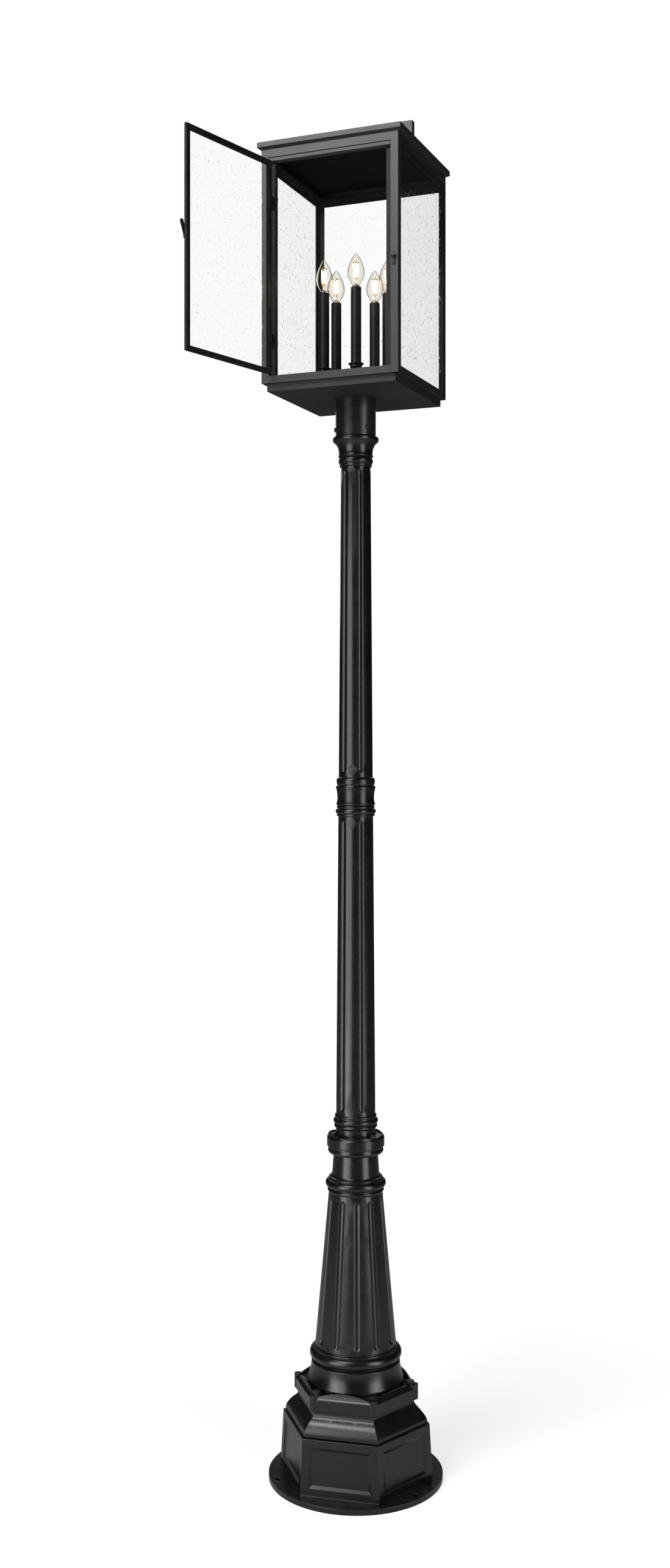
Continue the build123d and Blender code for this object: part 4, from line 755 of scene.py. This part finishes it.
def lamp(name, where, target, size, radiance):
    """Soft rectangular lamp of a given brightness, aimed at a point."""
    data = bpy.data.lights.new(name, "AREA")
    data.shape = "RECTANGLE"
    data.size, data.size_y = size
    data.energy = radiance * pi * size[0] * size[1]
    light = bpy.data.objects.new(name, data)
    bpy.context.scene.collection.objects.link(light)
    light.location = where
    light.rotation_mode = "QUATERNION"
    light.rotation_quaternion = (Vector(target) - Vector(where)).to_track_quat("-Z", "Y")
    light.visible_camera = False
    light.visible_transmission = False
    return light


def ways_of_light(tree):
    """Two masks: rays that come straight or through glass from the camera, and rays off a gloss."""
    path = put(tree, "ShaderNodeLightPath")
    bounced = maths(tree, "ADD", path.outputs["Diffuse Depth"], path.outputs["Glossy Depth"])
    unbounced = maths(tree, "LESS_THAN", bounced, 0.5)
    through = maths(tree, "MULTIPLY", path.outputs["Is Transmission Ray"], unbounced)
    gloss = maths(tree, "GREATER_THAN", path.outputs["Glossy Depth"], 0.5)
    return maths(tree, "MAXIMUM", path.outputs["Is Camera Ray"], through), gloss


class LANTERN_OT_set_stage(FinishOperator, bpy.types.Operator):
    """Set the pale floor, the even white surroundings, the soft lamps and the camera"""
    bl_idname = "lantern.set_stage"
    bl_label = "Stage and camera"

    def execute(self, context):
        values = context.scene.lantern_stage
        scene = context.scene
        scene.view_settings.view_transform = "Standard"
        world = bpy.data.worlds.new("white_surroundings")
        scene.world = world
        world.use_nodes = True
        tree = world.node_tree
        turn = values.azimuth
        back = Vector((sin(turn), -cos(turn), 0))
        way = put(tree, "ShaderNodeTexCoord").outputs["Generated"]
        behind = put(tree, "ShaderNodeVectorMath", {0: way, 1: -back},
                     operation="DOT_PRODUCT").outputs["Value"]
        straight, gloss = ways_of_light(tree)
        mirrored = ramp(tree, behind, *WHITE_BEHIND, values.dim, 1.0)
        level = put(tree, "ShaderNodeMix", {0: gloss, 2: values.ambient, 3: mirrored}).outputs[0]
        level = put(tree, "ShaderNodeMix", {0: straight, 2: level, 3: 1.0}).outputs[0]
        tree.nodes["Background"].inputs["Color"].default_value = (1, 1, 1, 1)
        tree.links.new(level, tree.nodes["Background"].inputs["Strength"])

        half = values.floor / 2
        mesh = mesh_of("pale_floor", lambda bm: bm.faces.new(
            [bm.verts.new((sx * half, sy * half, 0)) for sx, sy in ((-1, -1), (1, -1), (1, 1), (-1, 1))]))
        floor = bpy.data.objects.new("pale_floor", mesh)
        scene.collection.objects.link(floor)
        material, tree, shader = new_material("pale_floor")
        shader.inputs["Base Color"].default_value = (0.64, 0.64, 0.64, 1)
        shader.inputs["Roughness"].default_value = 0.9
        shader.inputs["Emission Color"].default_value = (1, 1, 1, 1)
        far = put(tree, "ShaderNodeVectorMath", {0: put(tree, "ShaderNodeTexCoord").outputs["Object"]},
                  operation="LENGTH").outputs["Value"]
        glow = ramp(tree, far, *FLOOR_GLOW)
        straight, gloss = ways_of_light(tree)
        seen = maths(tree, "MAXIMUM", straight, maths(tree, "MULTIPLY", gloss, FLOOR_MIRRORED))
        tree.links.new(maths(tree, "MULTIPLY", seen, glow), shader.inputs["Emission Strength"])
        mesh.materials.append(material)

        right = Vector((cos(turn), sin(turn), 0))
        for name, turned, reach, height, size, bright in SOFTBOXES:
            off = radians(turned)
            where = back * reach * cos(off) + right * reach * sin(off) + Vector((0, 0, height))
            lamp(name, where, (0, 0, min(height, HIGHEST_AIM)), size, bright)

        data = bpy.data.cameras.new("camera")
        data.sensor_width = 36
        data.lens = values.focal / PHOTO_SIZE[1] * data.sensor_width
        data.shift_y = (values.horizon - PHOTO_SIZE[1] / 2) / PHOTO_SIZE[1]
        data.clip_start, data.clip_end = 0.1, 200
        camera = bpy.data.objects.new("camera", data)
        scene.collection.objects.link(camera)
        camera.location = back * values.distance - right * values.aside + Vector((0, 0, values.eye))
        camera.rotation_mode = "QUATERNION"
        camera.rotation_quaternion = (-back).to_track_quat("-Z", "Y")
        scene.camera = camera
        return {"FINISHED"}


OPERATORS = (
    LANTERN_OT_build_groups, LANTERN_OT_coat_castings, LANTERN_OT_coat_sheets, LANTERN_OT_coat_candles,
    LANTERN_OT_glaze, LANTERN_OT_make_bulbs, LANTERN_OT_set_stage,
)
SETTINGS = (
    ("lantern_coats", CoatValues), ("lantern_glass", GlassValues), ("lantern_bulbs", BulbValues),
    ("lantern_stage", StageValues),
)


class LANTERN_PT_panel(bpy.types.Panel):
    """Lists the steps and the values that they use."""
    bl_idname = "LANTERN_PT_panel"
    bl_label = "Post Top Lantern"
    bl_space_type = "VIEW_3D"
    bl_region_type = "UI"
    bl_category = "Lantern"

    def draw(self, context):
        for operator in OPERATORS:
            self.layout.operator(operator.bl_idname)
        for name, group in SETTINGS:
            box = self.layout.box()
            for label in group.__annotations__:
                box.prop(getattr(context.scene, name), label)


def register():
    """Adds the classes and the scene's values."""
    for name, group in SETTINGS:
        bpy.utils.register_class(group)
        setattr(bpy.types.Scene, name, PointerProperty(type=group))
    for operator in OPERATORS:
        bpy.utils.register_class(operator)
    bpy.utils.register_class(LANTERN_PT_panel)


def unregister():
    """Takes them away again."""
    bpy.utils.unregister_class(LANTERN_PT_panel)
    for operator in reversed(OPERATORS):
        bpy.utils.unregister_class(operator)
    for name, group in SETTINGS:
        delattr(bpy.types.Scene, name)
        bpy.utils.unregister_class(group)


def main():
    register()
    for operator in OPERATORS:
        area, name = operator.bl_idname.split(".")
        getattr(getattr(bpy.ops, area), name)()


if __name__ == "__main__":
    main()
